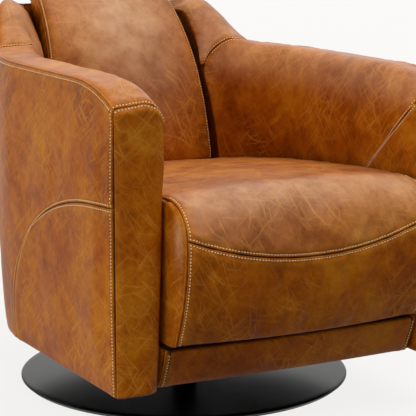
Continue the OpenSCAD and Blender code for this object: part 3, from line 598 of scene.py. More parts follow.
# The upholstery of the real chair sits a few millimetres out of level: its left side up, its right side down,
# and the left arm's nose down.
settling = {"tilt": 0.017, "fromZ": 380, "overZ": 260, "nose": 2.2, "noseY": 340, "noseLong": 70,
            "noseZ": 520, "noseHigh": 60}


def settled(points):
    x, y, z = np.moveaxis(points, -1, 0)
    high = ramp((z - settling["noseZ"]) / settling["noseHigh"])
    nose = ramp((-y - settling["noseY"]) / settling["noseLong"]) * high * (x < 0)
    out = points.copy()
    out[..., 2] -= settling["tilt"] * x * ramp((z - settling["fromZ"]) / settling["overZ"])
    out[..., 2] -= settling["nose"] * nose
    return out


stitchRows = {}


def gridMesh(name, outer, inner, values):
    n, m = outer.shape[:2]
    ids = np.arange(n * m).reshape(n, m)
    quads = gridFaces(ids)
    back = quads[:, ::-1] + n * m
    ring = np.concatenate([ids[0, :], ids[1:, -1], ids[-1, -2::-1], ids[-2:0:-1, 0]])
    nxt = np.roll(ring, -1)
    rim = np.stack([ring, nxt, nxt + n * m, ring + n * m], -1)
    faces = np.concatenate([quads, back, rim])
    verts = np.concatenate([outer.reshape(-1, 3), inner.reshape(-1, 3)]) * mm
    mesh = bpy.data.meshes.new(name)
    mesh.vertices.add(len(verts))
    mesh.vertices.foreach_set("co", verts.ravel())
    mesh.loops.add(faces.size)
    mesh.loops.foreach_set("vertex_index", faces.ravel())
    mesh.polygons.add(len(faces))
    mesh.polygons.foreach_set("loop_start", np.arange(0, faces.size, 4))
    mesh.polygons.foreach_set("use_smooth", np.ones(len(faces), bool))
    for key, value in values.items():
        both = np.concatenate([value.ravel(), value.ravel()])
        mesh.attributes.new(key, "FLOAT", "POINT").data.foreach_set("value", both)
    mesh.update(calc_edges=True)
    mesh.validate()
    return placed(name, mesh)


swelling = {"gridMm": 12.0, "pressure": 4.0, "spare": 0.012, "frames": 20}


def clothSwell(base, lengths, cap):
    # Cloth held at its seams and blown out by its filling, cut a little large so that it wrinkles.
    n, m = (int(round(length / swelling["gridMm"])) + 1 for length in lengths)
    rows, cols = np.meshgrid(*(np.linspace(0, base.shape[k] - 1, (n, m)[k]) for k in (0, 1)), indexing="ij")
    start = sampled(base, rows, cols)
    ids = np.arange(n * m).reshape(n, m)
    mesh = bpy.data.meshes.new("swell")
    mesh.from_pydata(start.reshape(-1, 3) * mm, [], gridFaces(ids).tolist())
    sheet = placed("swell", mesh)
    held = sheet.vertex_groups.new(name="held")
    held.add([int(v) for v in np.concatenate([ids[0], ids[-1], ids[:, 0], ids[:, -1]])], 1.0, "REPLACE")
    cloth = sheet.modifiers.new("cloth", "CLOTH")
    cloth.settings.vertex_group_mass = "held"
    cloth.settings.use_pressure = True
    cloth.settings.uniform_pressure_force = swelling["pressure"]
    cloth.settings.shrink_min = -swelling["spare"]
    cloth.settings.effector_weights.gravity = 0
    cloth.collision_settings.use_collision = False
    for number in range(1, swelling["frames"] + 1):
        bpy.context.scene.frame_set(number)
    shape = sheet.evaluated_get(bpy.context.evaluated_depsgraph_get()).to_mesh()
    moved = np.array([v.co[:] for v in shape.vertices]).reshape(n, m, 3) / mm - start
    bpy.data.objects.remove(sheet)
    bpy.context.scene.frame_set(1)
    size = np.linalg.norm(moved, axis=2, keepdims=True)
    return moved * cap * np.tanh(size / cap) / np.maximum(size, 1e-6)


# Borders of a cover: how deep its seam is and how far it is tucked, both in mm. A third value, where there is
# one, is a function that says where along the border the seam runs, and the rest of the border is tucked.
sewn = (2.2, 0)
lapped = (1.8, 0)


def tucked(size):
    return 0, size


def border(key, k):
    # The line of grid points that lies k lines in from a border.
    at = k if key[1] == "0" else -1 - k
    return np.s_[at] if key[0] == "s" else np.s_[:, at]


def leatherCover(name, base, edges, side=right, nodes=None, step=6.0, stitched=(), thick=5.0, rough=0.8,
                 creases=(), extra=None, flip=False, swell=0, paintedShade=0.0, paler=None):
    # base is a grid of points for the right side. edges names its borders: s0 and s1 are the first and last
    # row, t0 and t1 the first and last column. The cover stands for the node of its own name, or for nodes.
    lines0, lines1 = arcLengths(base), arcLengths(base.transpose(1, 0, 2))
    mean0, mean1 = lines0[-1].mean(), lines1[-1].mean()
    want0, want1 = distances(mean0, step), distances(mean1, step)
    places0, places1 = rowPlaces(lines0, want0, mean0), rowPlaces(lines1, want1, mean1)
    middle0 = rowPlaces(lines0.mean(1, keepdims=True), want0, mean0)[:, 0]
    middle1 = rowPlaces(lines1.mean(1, keepdims=True), want1, mean1)[:, 0]
    rows = np.stack([np.interp(middle1, np.arange(base.shape[1]), line) for line in places0])
    cols = np.stack([np.interp(middle0, np.arange(base.shape[0]), line) for line in places1], 1)
    surface = sampled(base, rows, cols)
    if swell > 0:
        moved = clothSwell(base, (mean0, mean1), swell)
        fit = [(moved.shape[k] - 1) / (base.shape[k] - 1) for k in (0, 1)]
        surface = surface + sampled(moved, rows * fit[0], cols * fit[1])
    normal = normalsOf(surface) * (-1 if flip else 1)
    down, along = np.meshgrid(want0, want1, indexing="ij")
    dist = {"s0": down, "s1": mean0 - down, "t0": along, "t1": mean1 - along}
    height = np.zeros(surface.shape[:2])
    seamLineAndShade = np.zeros_like(height)
    rubbed = np.zeros_like(height)
    near = np.full(height.shape, 1e3)
    for key, (deep, tuck, *where) in edges.items():
        d = dist[key]
        near = np.minimum(near, d)
        held = where[0](surface) if where else float(deep > 0)
        if deep > 0:
            height += held * seamProfile(d, deep)
            seamLineAndShade = np.maximum(seamLineAndShade, hump(d, 0.85 * held, 0, 0.9))
            raised = hump(d, *seam["rubbedEdge"]) + hump(d, *seam["rubbedFullness"])
            rubbed = np.maximum(rubbed, held * raised)
            phase = surface @ np.array([0.55, 0.6, 0.62]) * 0.62 + 2.0 * softNoise(surface, 55, 20, 6)
            height += hump(d, 0.28 * held * np.sin(phase), 10, 5) * ramp((d - 2) / 6)
        if tuck > 0:
            height += (1 - held) * tuckProfile(d, tuck)
            seamLineAndShade = np.maximum(seamLineAndShade, hump(d, 0.7 * (1 - held), 0, 0.4 * tuck))
    lumps = sum(high * softNoise(surface, wide, first) for high, wide, first in lumpSizes)
    height += rough * ramp(near / 28) * lumps
    height += creaseHeight(surface, creases) * ramp(near / 8)
    if extra is not None:
        height += extra(surface, dist)
    # Painted shade: a cover that lies deep in a gap is darkened all over towards the seam colour.
    seamLineAndShade = np.maximum(seamLineAndShade, paintedShade)
    # Painted sheen: the leather is drawn paler on its upward faces, and more where a cover's paler mask puts
    # a highlight, fading near its borders.
    paintedSheen = 0.12 * ramp((normal[..., 2] - 0.5) / 0.5) * ramp(near / 30)
    if paler is not None:
        paintedSheen = np.maximum(paintedSheen, paler(surface) * ramp(near / 24))
    outer = surface + normal * height[..., None]
    inner = surface + normal * (np.minimum(height, 0) - thick)[..., None]
    # A seam allowance: the inner edge flares a little way under the neighbouring cover.
    for key, parts in edges.items():
        if parts[0] > 0:
            edge = border(key, 0)
            out = surface[edge] - surface[border(key, 3)]
            inner[edge] += 2.5 * out / np.maximum(np.linalg.norm(out, axis=-1, keepdims=True), 1e-6)
    for key in stitched:
        line, up = outer[border(key, seamStep)], normal[border(key, seamStep)]
        if len(edges[key]) > 2:
            keep = edges[key][2](line) > 0.5
            line, up = line[keep], up[keep]
        stitchRows.setdefault(side, []).append((line[3:-3], up[3:-3]))
    if side == left:
        outer, inner = outer * [-1, 1, 1], inner * [-1, 1, 1]
    outer, inner = settled(outer), settled(inner)
    values = {"seamLineAndShade": seamLineAndShade, "rubbed": rubbed, "paintedSheen": paintedSheen}
    if (side == left) != flip:
        outer, inner, values = outer[::-1], inner[::-1], {key: value[::-1] for key, value in values.items()}
    piece = gridMesh(name + "_leather", outer, inner, values)
    piece.data.materials.append(leather)
    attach(piece, "chair")
    replaced = [name] if nodes is None else nodes
    if replaced:
        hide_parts(*replaced)
    return piece


sides = ((right, "right"), (left, "left"))


# Arms.
wingFoot = sectionPoint(np.array([splitA(10)]), 10)[0, 2]
arm = {"stations": 150, "rows": 110, "gapTop": float(wingFoot) - 4, "bend": 0.6, "cornerBack": 9.2,
       "cornerFrom": 85.0, "cornerOver": 11.5, "faceZ": 582.0, "noseSink": 3.0, "noseY": -405.0,
       "noseOver": 18.0, "gapSink": 16.0}


def rowDepthAt(a, j):
    if j < len(armRoll):
        return float(rollPoint(np.array([a]), j)[0][0])
    return float(innerDepth(stationY(np.array([a])), arm["faceZ"])[0])


def frontCorner(depth):
    # How far the top of the arm's front end steps back where its inner corner is rounded.
    return arm["cornerBack"] * np.clip((depth - arm["cornerFrom"]) / arm["cornerOver"], 0, 1) ** 2


def onDiagonal(points):
    return ramp((-203 - points[..., 1]) / 6)


def besideWing(points):
    # The arm's rear seam is sewn to the wing, and below that the arm dips into the gap beside the pad.
    return ramp((points[..., 2] - arm["gapTop"]) / 8)


def armBase():
    # From the arm's front end back to the wing, and from the outer seam over the top down to the seat.
    s = np.linspace(0, 1, arm["stations"])
    bend = arm["bend"]
    rows = []
    for j in range(rowCount):
        begin = startA + np.degrees(frontCorner(rowDepthAt(startA, j)) / tub["radius"])
        a = np.where(s < bend, begin + (hubA - begin) * s / bend,
                     hubA + (splitA(j) - hubA) * (s - bend) / (1 - bend))
        point = sectionPoint(a, j, sinkOf(a, j) if j <= 10 else 0.0)
        point[:, 2] -= arm["noseSink"] * ramp((arm["noseY"] - point[:, 1]) / arm["noseOver"])
        if j == rowCount - 1:
            point[:, 2] -= arm["gapSink"] * ramp((a - 2) / 6)
        rows.append(point)
    return smoothRows(np.stack(rows, 1), arm["rows"])


# The front panel's columns, from its outer edge across the front and round onto the arm's inner face: how far
# in they lie at the top, how far in from the outer or the inner edge lower down, and how far behind the arm's
# front end they stand.
armFront = {"rows": 90, "across": 70, "top": [0.5, 4, 14, 36, 62, 86, 93.5, 96.5, 97, 97],
            "outer": [0.5, 4, 14, 36, 62], "inner": [11, 3.5, 0.5, 0, 0],
            "behind": [0.8, -2.5, -5, -6.5, -6, -2, 4, 11], "corner": 12.4}


def armFrontBase():
    f = -tub["reach"]
    t = np.linspace(0, 1, armFront["rows"])
    columns = []
    noseTop = crest(np.array([startA]))[0] - 3.0
    depths = [rowDepthAt(startA, j) for j in range(len(armRoll))]
    for k, d in enumerate(armFront["top"]):
        top = noseTop + np.interp(min(d, 93), depths, armRoll[:, 1])
        z = tub["foot"] + t * (top - tub["foot"])
        w = innerDepth(f, z)
        back = slant["y"] - (np.maximum(z, slant["bendZ"]) - slant["z"]) / slant["fall"]
        back = back + (slant["foreY"] - back) * ramp((slant["bendZ"] - z) / 50)
        e = np.maximum(back - 0.6, f + 12.6)
        x = armFront["outer"][k] if k < 5 else w - armFront["inner"][k - 5]
        y = f + armFront["behind"][k] if k < 8 else (f + armFront["corner"] + e) / 2 if k == 8 else e
        lip = f + 1.8 + frontCorner(d) if k < 8 else y
        fold = ramp((z - top + 10) / 10) ** 1.3
        columns.append(gridOf(tub["radius"] - x, y + (lip - y) * fold, z))
    return smoothRows(np.stack(columns, 1), armFront["across"])


# A crease: its two ends, how wide and how deep it is.
armCreases = {"right": [((262, 60, 520), (258, 20, 470), 5, 1.2)],
              "left": [((300, 150, 640), (262, 120, 600), 5, 1.0)]}


# Painted sheen: the arm cover is drawn paler towards its top.
def armPaintedSheen(points):
    return 0.26 * ramp((points[..., 2] - 540) / 70)


def aboveSeat(points):
    return ramp((points[..., 2] - 400) / 6)


for side, tag in sides:
    leatherCover("arm_cover_" + tag, armBase(),
                 {"s0": sewn, "s1": (2.2, 7.0, besideWing), "t0": sewn, "t1": (2.2, 6.0, onDiagonal)}, side,
                 stitched=["s0", "s1", "t1"], rough=0.9, creases=armCreases[tag], swell=1.6,
                 paler=armPaintedSheen)
    leatherCover("arm_front_" + tag, armFrontBase(),
                 {"s0": tucked(5.0), "s1": sewn, "t0": sewn, "t1": (2.2, 5.0, aboveSeat)}, side,
                 stitched=["s1", "t1"], rough=0.9)
print("arms covered")


# Sides and outer back.
patch = {"frontY": 2.2 - tub["reach"], "power": 2.3, "high": 327.0, "corner": 0.62, "rush": 0.9, "bend": 0.6,
         "bendOver": 0.13}


def patchCurve(t):
    # The double seam of the lower side panel, from the arm's front over and down to the hem.
    y = patch["frontY"] + (tub["hubY"] - patch["frontY"]) * dsin(90 * t) ** (2 / patch["power"])
    z = tub["foot"] + patch["high"] * np.maximum(dcos(90 * t), 0) ** (2 / patch["power"])
    u = y / tub["radius"]
    return np.where(u < 0, np.degrees(u), np.degrees(np.arcsin(np.clip(u, -1, 1)))), z


def sidePoint(a, z):
    return onTub(a, -sideBulge(a, z, crest(a) - tub["seamDrop"]), z)


def sidePanelBase():
    s = np.linspace(0, 1, 200)
    seamA, seamZ = patchCurve(s + patch["rush"] * s * (1 - s))
    corner = patch["corner"]
    first = s < corner
    outA = np.where(first, startA + (backA - startA) * np.minimum(s / corner, 1), backA)
    top = crest(outA) - tub["seamDrop"] - 0.2
    outZ = np.where(first, top, top + (tub["foot"] - top) * (s - corner) / (1 - corner))
    t = np.linspace(0, 1, 90)[None, :]
    # The lines of the grid bend upright towards the top, or they would cross where the wing rises.
    upright = 1 - (1 - t) ** (1 + patch["bend"] * ramp((corner - s[:, None]) / patch["bendOver"]))
    a = seamA[:, None] + (outA - seamA)[:, None] * upright
    z = seamZ[:, None] + (outZ - seamZ)[:, None] * t
    return sidePoint(a, z)


def patchBase():
    # A grid between four curves: the double seam's front and rear halves, the front edge and the hem.
    n = 70
    s = np.linspace(0, 1, n)
    topA, topZ = patchCurve(0.5 * s)
    rearA, rearZ = patchCurve(1 - 0.5 * s)
    lowA, lowZ = startA + (rearA[0] - startA) * s, np.full(n, tub["foot"])
    foreA, foreZ = np.full(n, startA), tub["foot"] + (topZ[0] - tub["foot"]) * s
    grid = []
    for low, high, front, rear in ((lowA, topA, foreA, rearA), (lowZ, topZ, foreZ, rearZ)):
        across = low[:, None] * (1 - s) + high[:, None] * s
        along = front[None, :] * (1 - s[:, None]) + rear[None, :] * s[:, None]
        plane = (low[0] * np.outer(1 - s, 1 - s) + high[0] * np.outer(1 - s, s)
                 + low[-1] * np.outer(s, 1 - s) + high[-1] * np.outer(s, s))
        grid.append(across + along - plane)
    return sidePoint(grid[0], grid[1])


def backPanelBase():
    a = np.linspace(backA + 0.1, 180 - backA - 0.1, 80)[:, None]
    top = crest(np.array([90.0]))[0] - tub["seamDrop"] - 0.5
    z = np.linspace(tub["foot"], top, 90)[None, :]
    mirrored = np.minimum(a, 180 - a)
    return onTub(a, -sideBulge(mirrored, z, top), z + 0 * a)


for side, tag in sides:
    leatherCover("side_panel_" + tag, sidePanelBase(),
                 {"s0": sewn, "s1": tucked(5.0), "t0": lapped, "t1": sewn}, side,
                 stitched=["s0", "t0", "t1"], rough=1.0)
    leatherCover("lower_side_panel_" + tag, patchBase(),
                 {"s0": sewn, "s1": lapped, "t0": tucked(5.0), "t1": lapped}, side,
                 stitched=["s0", "s1", "t1"], rough=1.0)
leatherCover("back_outer_panel", backPanelBase(), {"s0": sewn, "s1": sewn, "t0": tucked(5.0), "t1": sewn},
             stitched=["s0", "s1", "t1"], rough=1.0)
print("sides covered")


# Wings and the leather tucked in behind the pad.
wing = {"stations": 60, "rows": 90}


def wingBase():
    s = np.linspace(0, 1, wing["stations"])
    rows = []
    for j in range(11):
        start = splitA(j) + 0.12
        a = start + (endA(j) - start) * s
        rows.append(sectionPoint(a, j, sinkOf(a, j)))
    return smoothRows(np.stack(rows, 1), wing["rows"])


padAt = {"half": 182.0, "taper": 35.0, "y": 221.0, "z": 394.0, "sunk": 8.0, "rise": 354.0, "slope": 0.14,
         "curl": 1.44e-7, "roll": 30.0, "rollEnd": 192.0, "crown": 28.0, "boxDeep": 46.0, "rollDeep": 27.0}


def padWide(s):
    return padAt["half"] - padAt["taper"] * np.minimum(s, 1.15) ** 1.5


def tuckBase():
    lines = []
    for j in range(rowCount - 1, 3, -1):
        a = np.array([endA(j)])
        start = sectionPoint(a, j, sinkOf(a, j) if j <= 10 else 0.0)[0] + [1.5, -0.5, 0]
        x = padWide(np.maximum(0, start[2] - padAt["z"]) / padAt["rise"]) - 6
        r = tub["radius"] - rowDepth(j) + 42
        backY = np.sqrt(r * r - x * x) + lean(start[2]) * share(np.degrees(np.arccos(x / r)))
        end = np.array([x, backY, start[2]])
        t = np.linspace(0, 1, 24)[:, None]
        lines.append(start * (1 - t) + end * t)
    return smoothRows(np.stack(lines, 1), 60)


wingCreases = [((150, 330, 700), (200, 300, 690), 5, 1.4), ((170, 300, 640), (215, 270, 650), 4, 1.0)]
for side, tag in sides:
    # The wing covers carry a painted sheen all over, and the tuck strips carry painted shade.
    leatherCover("wing_cover_" + tag, wingBase(),
                 {"s0": sewn, "s1": tucked(6.0), "t0": sewn, "t1": sewn}, side, stitched=["s0"],
                 rough=1.3, creases=wingCreases, paler=lambda p: 0.4 + 0 * p[..., 2])
    leatherCover("tuck_strip_" + tag, tuckBase(), {"s0": tucked(2.0), "s1": tucked(2.0)}, side,
                 thick=3.0, rough=0.6, flip=True, paintedShade=0.85)
print("wings covered")


# Back pad.
def padLean(h):
    # How far back the pad's seam stands at a height above its foot, and how much it leans there.
    back = padAt["y"] + padAt["slope"] * h + padAt["curl"] * h ** 3.5
    return back, np.degrees(np.arctan(padAt["slope"] + 3.5 * padAt["curl"] * h ** 2.5))


rollY, rollStart = padLean(padAt["rise"])


def padSeam(s):
    # Up the pad for s to 1 and over its roll from there: the seam's place, and the way that it faces.
    h = np.minimum(s, 1) * padAt["rise"]
    y, slope = padLean(h)
    topY = rollY + padAt["roll"] * dcos(rollStart)
    topZ = padAt["z"] + padAt["rise"] - padAt["roll"] * dsin(rollStart)
    a = np.where(s <= 1, slope, rollStart + (s - 1) * (padAt["rollEnd"] - rollStart))
    y = np.where(s <= 1, y, topY - padAt["roll"] * dcos(a))
    z = np.where(s <= 1, padAt["z"] + h, topZ + padAt["roll"] * dsin(a))
    return y, z, -dcos(a), dsin(a)


def padBase():
    u = np.linspace(-1, 1, 90)[:, None]
    s = np.concatenate([np.linspace(0, 1, 80), 1 + np.linspace(0, 1, 50)[1:]])[None, :]
    y, z, ny, nz = padSeam(s)
    c = padAt["crown"] * (1 - u ** 2)
    return gridOf(u * padWide(s), y + ny * c, z + nz * c - padAt["sunk"] * ramp(1 - s / 0.06))


def padGussetBase():
    w = np.linspace(0, 1, 30)[:, None]
    s = np.concatenate([np.linspace(0, 1, 80), 1 + 0.95 * np.linspace(0, 1, 40)[1:]])[None, :]
    y, z, ny, nz = padSeam(s)
    deep = 0.5 + w * np.where(s < 1, padAt["boxDeep"], padAt["rollDeep"])
    x = padWide(s) - 0.5 + 2.5 * dsin(180 * w)
    return gridOf(x, y - ny * deep, z - nz * deep)


def gussetPleats(points, dist):
    # The boxing is gathered against the pad's seam: short pleats across it.
    phase = dist["t0"] / 7.5 + 0.8 * softNoise(points, 40, 5, 6)
    return hump(dist["s0"], 1.5 * np.sin(phase), 12, 12) * ramp(dist["s0"] / 6)


# Painted sheen on the back pad's upper middle.
def padPaintedSheen(points):
    return hump(points[..., 2], 0.72, 700, 160) * hump(points[..., 0], 1, 5, 130)


padCreases = [((-118, 292, 742), (-112, 268, 600), 9, 2.0), ((-92, 292, 742), (-84, 264, 590), 8, 1.4),
              ((-120, 235, 440), (-60, 215, 470), 7, 1.5), ((40, 215, 450), (120, 235, 500), 7, 1.4),
              ((-140, 280, 640), (-90, 260, 600), 6, 1.3), ((110, 300, 690), (60, 285, 640), 6, 1.2)]
leatherCover("back_pad", padBase(), {"s0": sewn, "s1": sewn, "t0": tucked(12.0), "t1": tucked(4.0)},
             nodes=["back_pad_panel", "back_foam"], stitched=["s0", "s1"], rough=1.8,
             creases=padCreases, swell=7, paler=padPaintedSheen)
for side, tag in sides:
    leatherCover("back_gusset_" + tag, padGussetBase(), {"s0": sewn, "s1": tucked(4.0)}, side,
                 step=4.0, thick=4.0, rough=0.8, extra=gussetPleats)
print("back pad covered")


# Seat.
def seatFront(z):
    u = np.clip((z - seat["bulgeZ"]) / (seat["top"] - seat["bulgeZ"]), 0, 1)
    roll = seat["rollDeep"] * (1 - (1 - u ** seat["power"]) ** (1 / seat["power"]))
    return -seat["reach"] + np.where(z < seat["bulgeZ"], seat["under"] * (z - seat["bulgeZ"]) ** 2, roll)


def frontSeam(x):
    return seat["seamLow"] + seat["seamRise"] * (np.abs(x) / seat["half"]) ** 2.1


def seatWide(y):
    w = seat["half"] + seat["flare"] * ramp((y - seat["flareY"]) / seat["flareOver"])
    return np.where(y < 0, w, np.minimum(w, np.sqrt(np.maximum(seat["inside"] ** 2 - y * y, 1))))


def seatPoint(x, y, z, ny, nz):
    u = x / seat["half"]
    c = seat["crown"] * (1 - u ** 2) * (1 - 0.85 * np.maximum(0, (y - seat["levelY"]) / seat["deep"]) ** 2)
    return gridOf(u * seatWide(y), y + ny * c, z + nz * c)


def seatFore(x, z):
    z = z + 0 * x
    dy = seatFront(z + 1) - seatFront(z - 1)
    size = np.hypot(dy, 2)
    return seatPoint(x, seatFront(z), z, -2 / size, dy / size)


def atSeatFront(points):
    return ramp((-380 - points[..., 1]) / 24)


def seatTopBase():
    x = np.linspace(-1, 1, 120)[:, None] * seat["half"]
    k = np.linspace(0, 1, 50)[None, :]
    low = frontSeam(x) + 0.5
    z = low + (seat["top"] - low) * dsin(90 * k) ** 0.95
    fore = seatFore(x, np.minimum(z, seat["top"] - 0.02))
    y = np.linspace(0, 1, 70)[None, 1:] * seat["deep"] + seat["levelY"]
    over = seatPoint(x, y + 0 * x, seatTop(y) + 0 * x, 0, 1)
    return np.concatenate([fore, over], 1)


def seatFrontBase():
    x = np.linspace(-1, 1, 120)[:, None] * seat["half"]
    k = np.linspace(0, 1, 60)[None, :]
    low = seat["gapZ"] + 2
    return seatFore(x, low + (frontSeam(x) - low) * k)


def seatGussetBase():
    w = np.linspace(0, 1, 40)[:, None]
    z = np.linspace(seat["gapZ"] + 2, seat["top"] - 2, 80)[None, :]
    y0 = seatFront(z) + 1.0
    y = y0 + w * (-tub["reach"] + 34 - y0)
    x = seat["half"] + 0.5 + seat["flare"] * (1 - (1 - np.minimum(w / 0.4, 1)) ** 2.2) + 0 * z
    return gridOf(x, y, z)


rail = {"half": seat["half"] + 11, "top": seat["gapZ"] - 4, "out": 9.0, "slope": 0.44, "crown": 8.0,
        "roll": 5.0, "rearY": -392.0}


def railBase():
    x = np.linspace(-1, 1, 120)[:, None] * rail["half"]
    z = np.linspace(tub["foot"], rail["top"], 40)[None, :]
    y = seatFront(np.array(seat["gapZ"])) + rail["out"] + rail["slope"] * (rail["top"] - 1 - z)
    edge = np.abs(2 * (z - tub["foot"]) / (rail["top"] - tub["foot"]) - 1)
    return gridOf(x, y - rail["crown"] * (1 - (x / rail["half"]) ** 2) + rail["roll"] * edge ** 4, z)


def railEndBase():
    w = np.linspace(0, 1, 24)[:, None]
    x, y, z = (railBase()[-1][None, :, k] for k in range(3))
    return gridOf(x + 0.6 + 3 * w, y + (rail["rearY"] - y) * w, z)


drag = {"high": 0.55, "apart": 5.2, "slope": 0.35, "left": 90, "right": 110, "foreY": -420, "rearY": 60,
        "edge": 14}


def seatWrinkles(points, dist):
    # Fine drag lines fan out from the seat's sides over its front corners.
    x, y = points[..., 0], points[..., 1]
    atSides = ramp((-x - drag["left"]) / 120) + 0.7 * ramp((x - drag["right"]) / 110)
    lines = np.sin((y + drag["slope"] * np.abs(x)) / drag["apart"] + 1.6 * softNoise(points, 90, 8, 6))
    zone = atSides * ramp((y - drag["foreY"]) / 60) * ramp((drag["rearY"] - y) / 200)
    return drag["high"] * lines * zone * ramp(dist["s0"] / drag["edge"]) * ramp(dist["s1"] / drag["edge"])


seatCreases = [((-178, -478, 400), (-140, -425, 446), 6, 3.4), ((-160, -484, 392), (-116, -440, 442), 5, 2.2),
               ((120, -440, 444), (146, -482, 396), 6, 3.2), ((142, -430, 446), (172, -478, 402), 5, 2.4),
               ((-120, -330, 440), (-20, -300, 440), 6, 0.9), ((-160, -200, 435), (-60, -180, 436), 6, 0.9)]
seatSide = (2.2, 9.0, atSeatFront)
# The seat top carries a painted highlight band along its front crest.
leatherCover("seat_top", seatTopBase(), {"s0": seatSide, "s1": seatSide, "t0": lapped, "t1": tucked(6.0)},
             nodes=["seat_top_panel", "seat_foam"], stitched=["s0", "s1", "t0"], rough=1.2,
             creases=seatCreases, extra=seatWrinkles, swell=4.5,
             paler=lambda p: hump(p[..., 1], 0.55, -448, 42))
leatherCover("seat_front", seatFrontBase(), {"s0": sewn, "s1": sewn, "t0": tucked(13.0), "t1": lapped},
             nodes=["seat_front_panel"], stitched=["s0", "s1", "t1"], rough=1.2, swell=5)
leatherCover("front_rail", railBase(), {"s0": sewn, "s1": sewn, "t0": tucked(5.0), "t1": tucked(9.0)},
             nodes=["front_rail_cover"], stitched=["s0", "s1"], rough=1.0)
for side, tag in sides:
    leatherCover("rail_end_" + tag, railEndBase(),
                 {"s0": sewn, "s1": tucked(5.0), "t0": tucked(5.0), "t1": tucked(4.0)}, side, nodes=[],
                 rough=0.8, step=5.0)
    # Each seat gusset carries a painted highlight at its upper front.
    leatherCover("seat_gusset_" + tag, seatGussetBase(),
                 {"s0": sewn, "t0": tucked(5.0), "t1": tucked(2.5)}, side, rough=1.0, step=5.0,
                 paler=lambda p: hump(p[..., 2], 0.55, 385, 40) * hump(p[..., 1], 1, -470, 12))
print("seat covered")


# Stitches.
stitch = {"pitch": 5.8, "long": 3.5, "wide": 2.3, "high": 2.1, "proud": 0.8, "turned": 0.12}


def oneStitch():
    bpy.ops.object.select_all(action="DESELECT")
    bpy.ops.mesh.primitive_uv_sphere_add(segments=6, ring_count=4, radius=0.5)
    seed = bpy.context.object
    bpy.ops.object.mode_set(mode="EDIT")
    bpy.ops.mesh.select_all(action="SELECT")
    bpy.ops.transform.rotate(value=pi / 2, orient_axis="Y", center_override=(0, 0, 0))
    size = (stitch["long"], stitch["wide"], stitch["high"])
    bpy.ops.transform.resize(value=size, center_override=(0, 0, 0))
    bpy.ops.object.mode_set(mode="OBJECT")
    points = np.array([v.co[:] for v in seed.data.vertices])
    faces = [list(p.vertices) for p in seed.data.polygons]
    bpy.data.objects.remove(seed)
    return points, faces


def unit(v):
    return v / np.linalg.norm(v)


def pointAt(at, along, line):
    return np.array([np.interp(at, along, line[:, c]) for c in range(3)])


def sewRows(name, rows, side):
    shape, faces = oneStitch()
    verts, polys = [], []
    for line, up in rows:
        gaps = np.linalg.norm(np.diff(line, axis=0), axis=1)
        along = np.concatenate([[0], np.cumsum(gaps)])
        count = int(along[-1] / stitch["pitch"])
        for k in range(count):
            at = (k + 0.5) * along[-1] / count
            p, n = pointAt(at, along, line), unit(pointAt(at, along, up))
            t = pointAt(at + 1, along, line) - p
            if np.linalg.norm(t) < 1e-6:
                t = p - pointAt(at - 1, along, line)
            t = unit(t)
            b = unit(np.cross(n, t))
            n = np.cross(t, b)
            # Each stitch lies a little across its row.
            ahead = t + b * stitch["turned"]
            local = shape[:, :1] * ahead + shape[:, 1:2] * b + (shape[:, 2:] + stitch["proud"]) * n
            polys += [[v + len(verts) * len(shape) for v in f] for f in faces]
            verts.append(p + local)
    points = np.concatenate(verts)
    if side == left:
        points = points * [-1, 1, 1]
        polys = [f[::-1] for f in polys]
    mesh = bpy.data.meshes.new(name)
    mesh.from_pydata(settled(points) * mm, [], polys)
    mesh.shade_smooth()
    piece = placed(name, mesh)
    piece.data.materials.append(thread)
    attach(piece, "chair")
    return len(verts)


print("stitches:", sum(sewRows("stitching_" + tag, stitchRows[side], side) for side, tag in sides))


# Dust cover.
dust = {"hole": 150.0, "outline": 344.0, "front": -383.0, "sag": 3.0, "high": 109.0}


def dustCover(d):
    rings, turns = 14, 144
    angle = np.linspace(0, 2 * pi, turns, endpoint=False)
    reach = np.full(turns, d["outline"])
    low = np.sin(angle) < 0
    square = np.minimum(d["outline"] / np.maximum(np.abs(np.cos(angle)), 1e-6),
                        -d["front"] / np.maximum(-np.sin(angle), 1e-6))
    reach[low] = square[low]
    k = np.linspace(0, 1, rings)[:, None]
    r = d["hole"] + (reach - d["hole"]) * k
    z = d["high"] - d["sag"] * np.sin(pi * k) * (0.8 + 0.2 * np.sin(5 * angle))
    points = np.stack([r * np.cos(angle), r * np.sin(angle), z], -1).reshape(-1, 3)
    ids = np.arange(rings * turns).reshape(rings, turns)
    nxt = np.roll(ids, -1, 1)
    faces = np.stack([ids[:-1], nxt[:-1], nxt[1:], ids[1:]], -1).reshape(-1, 4)
    mesh = bpy.data.meshes.new("dust_cover_cloth")
    mesh.from_pydata(points * mm, [], faces.tolist())
    mesh.shade_smooth()
    piece = placed("dust_cover_cloth", mesh)
    piece.data.materials.append(finishes["dust_cloth"])
    bpy.ops.object.select_all(action="DESELECT")
    bpy.context.view_layer.objects.active = piece
    piece.select_set(True)
    solid = piece.modifiers.new("cloth", "SOLIDIFY")
    solid.thickness = 0.6 * mm
    bpy.ops.object.modifier_apply(modifier="cloth")
    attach(piece, "chair")
    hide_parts("dust_cover")


dustCover(dust)
print("dust cover hung")


# Studio.
studio = {"floor": "#464544", "paleFloor": "#484746", "glow": 0.925, "bounce": "#706D69",
          "backdrop": "#F6F5F3", "low": 0.06, "left": 4.8, "rear": 0.34, "top": 0.22, "overhead": 2.2,
          "overheadFrom": (0.28, -0.22, 0.95), "rearSoft": 0.3, "rearFrom": (0.42, 0.85, 0.5),
          "softAngle": 50}


def seenRays(add):
    # One for what the camera sees straight or in a reflection, nought for the light that things give.
    rays = add("ShaderNodeLightPath").node.outputs
    seen = add(mathKind, {0: rays["Is Camera Ray"], 1: rays["Is Glossy Ray"]}, operation="MAXIMUM")
    return add(mathKind, {0: seen, 1: rays["Is Transmission Ray"]}, operation="MAXIMUM")


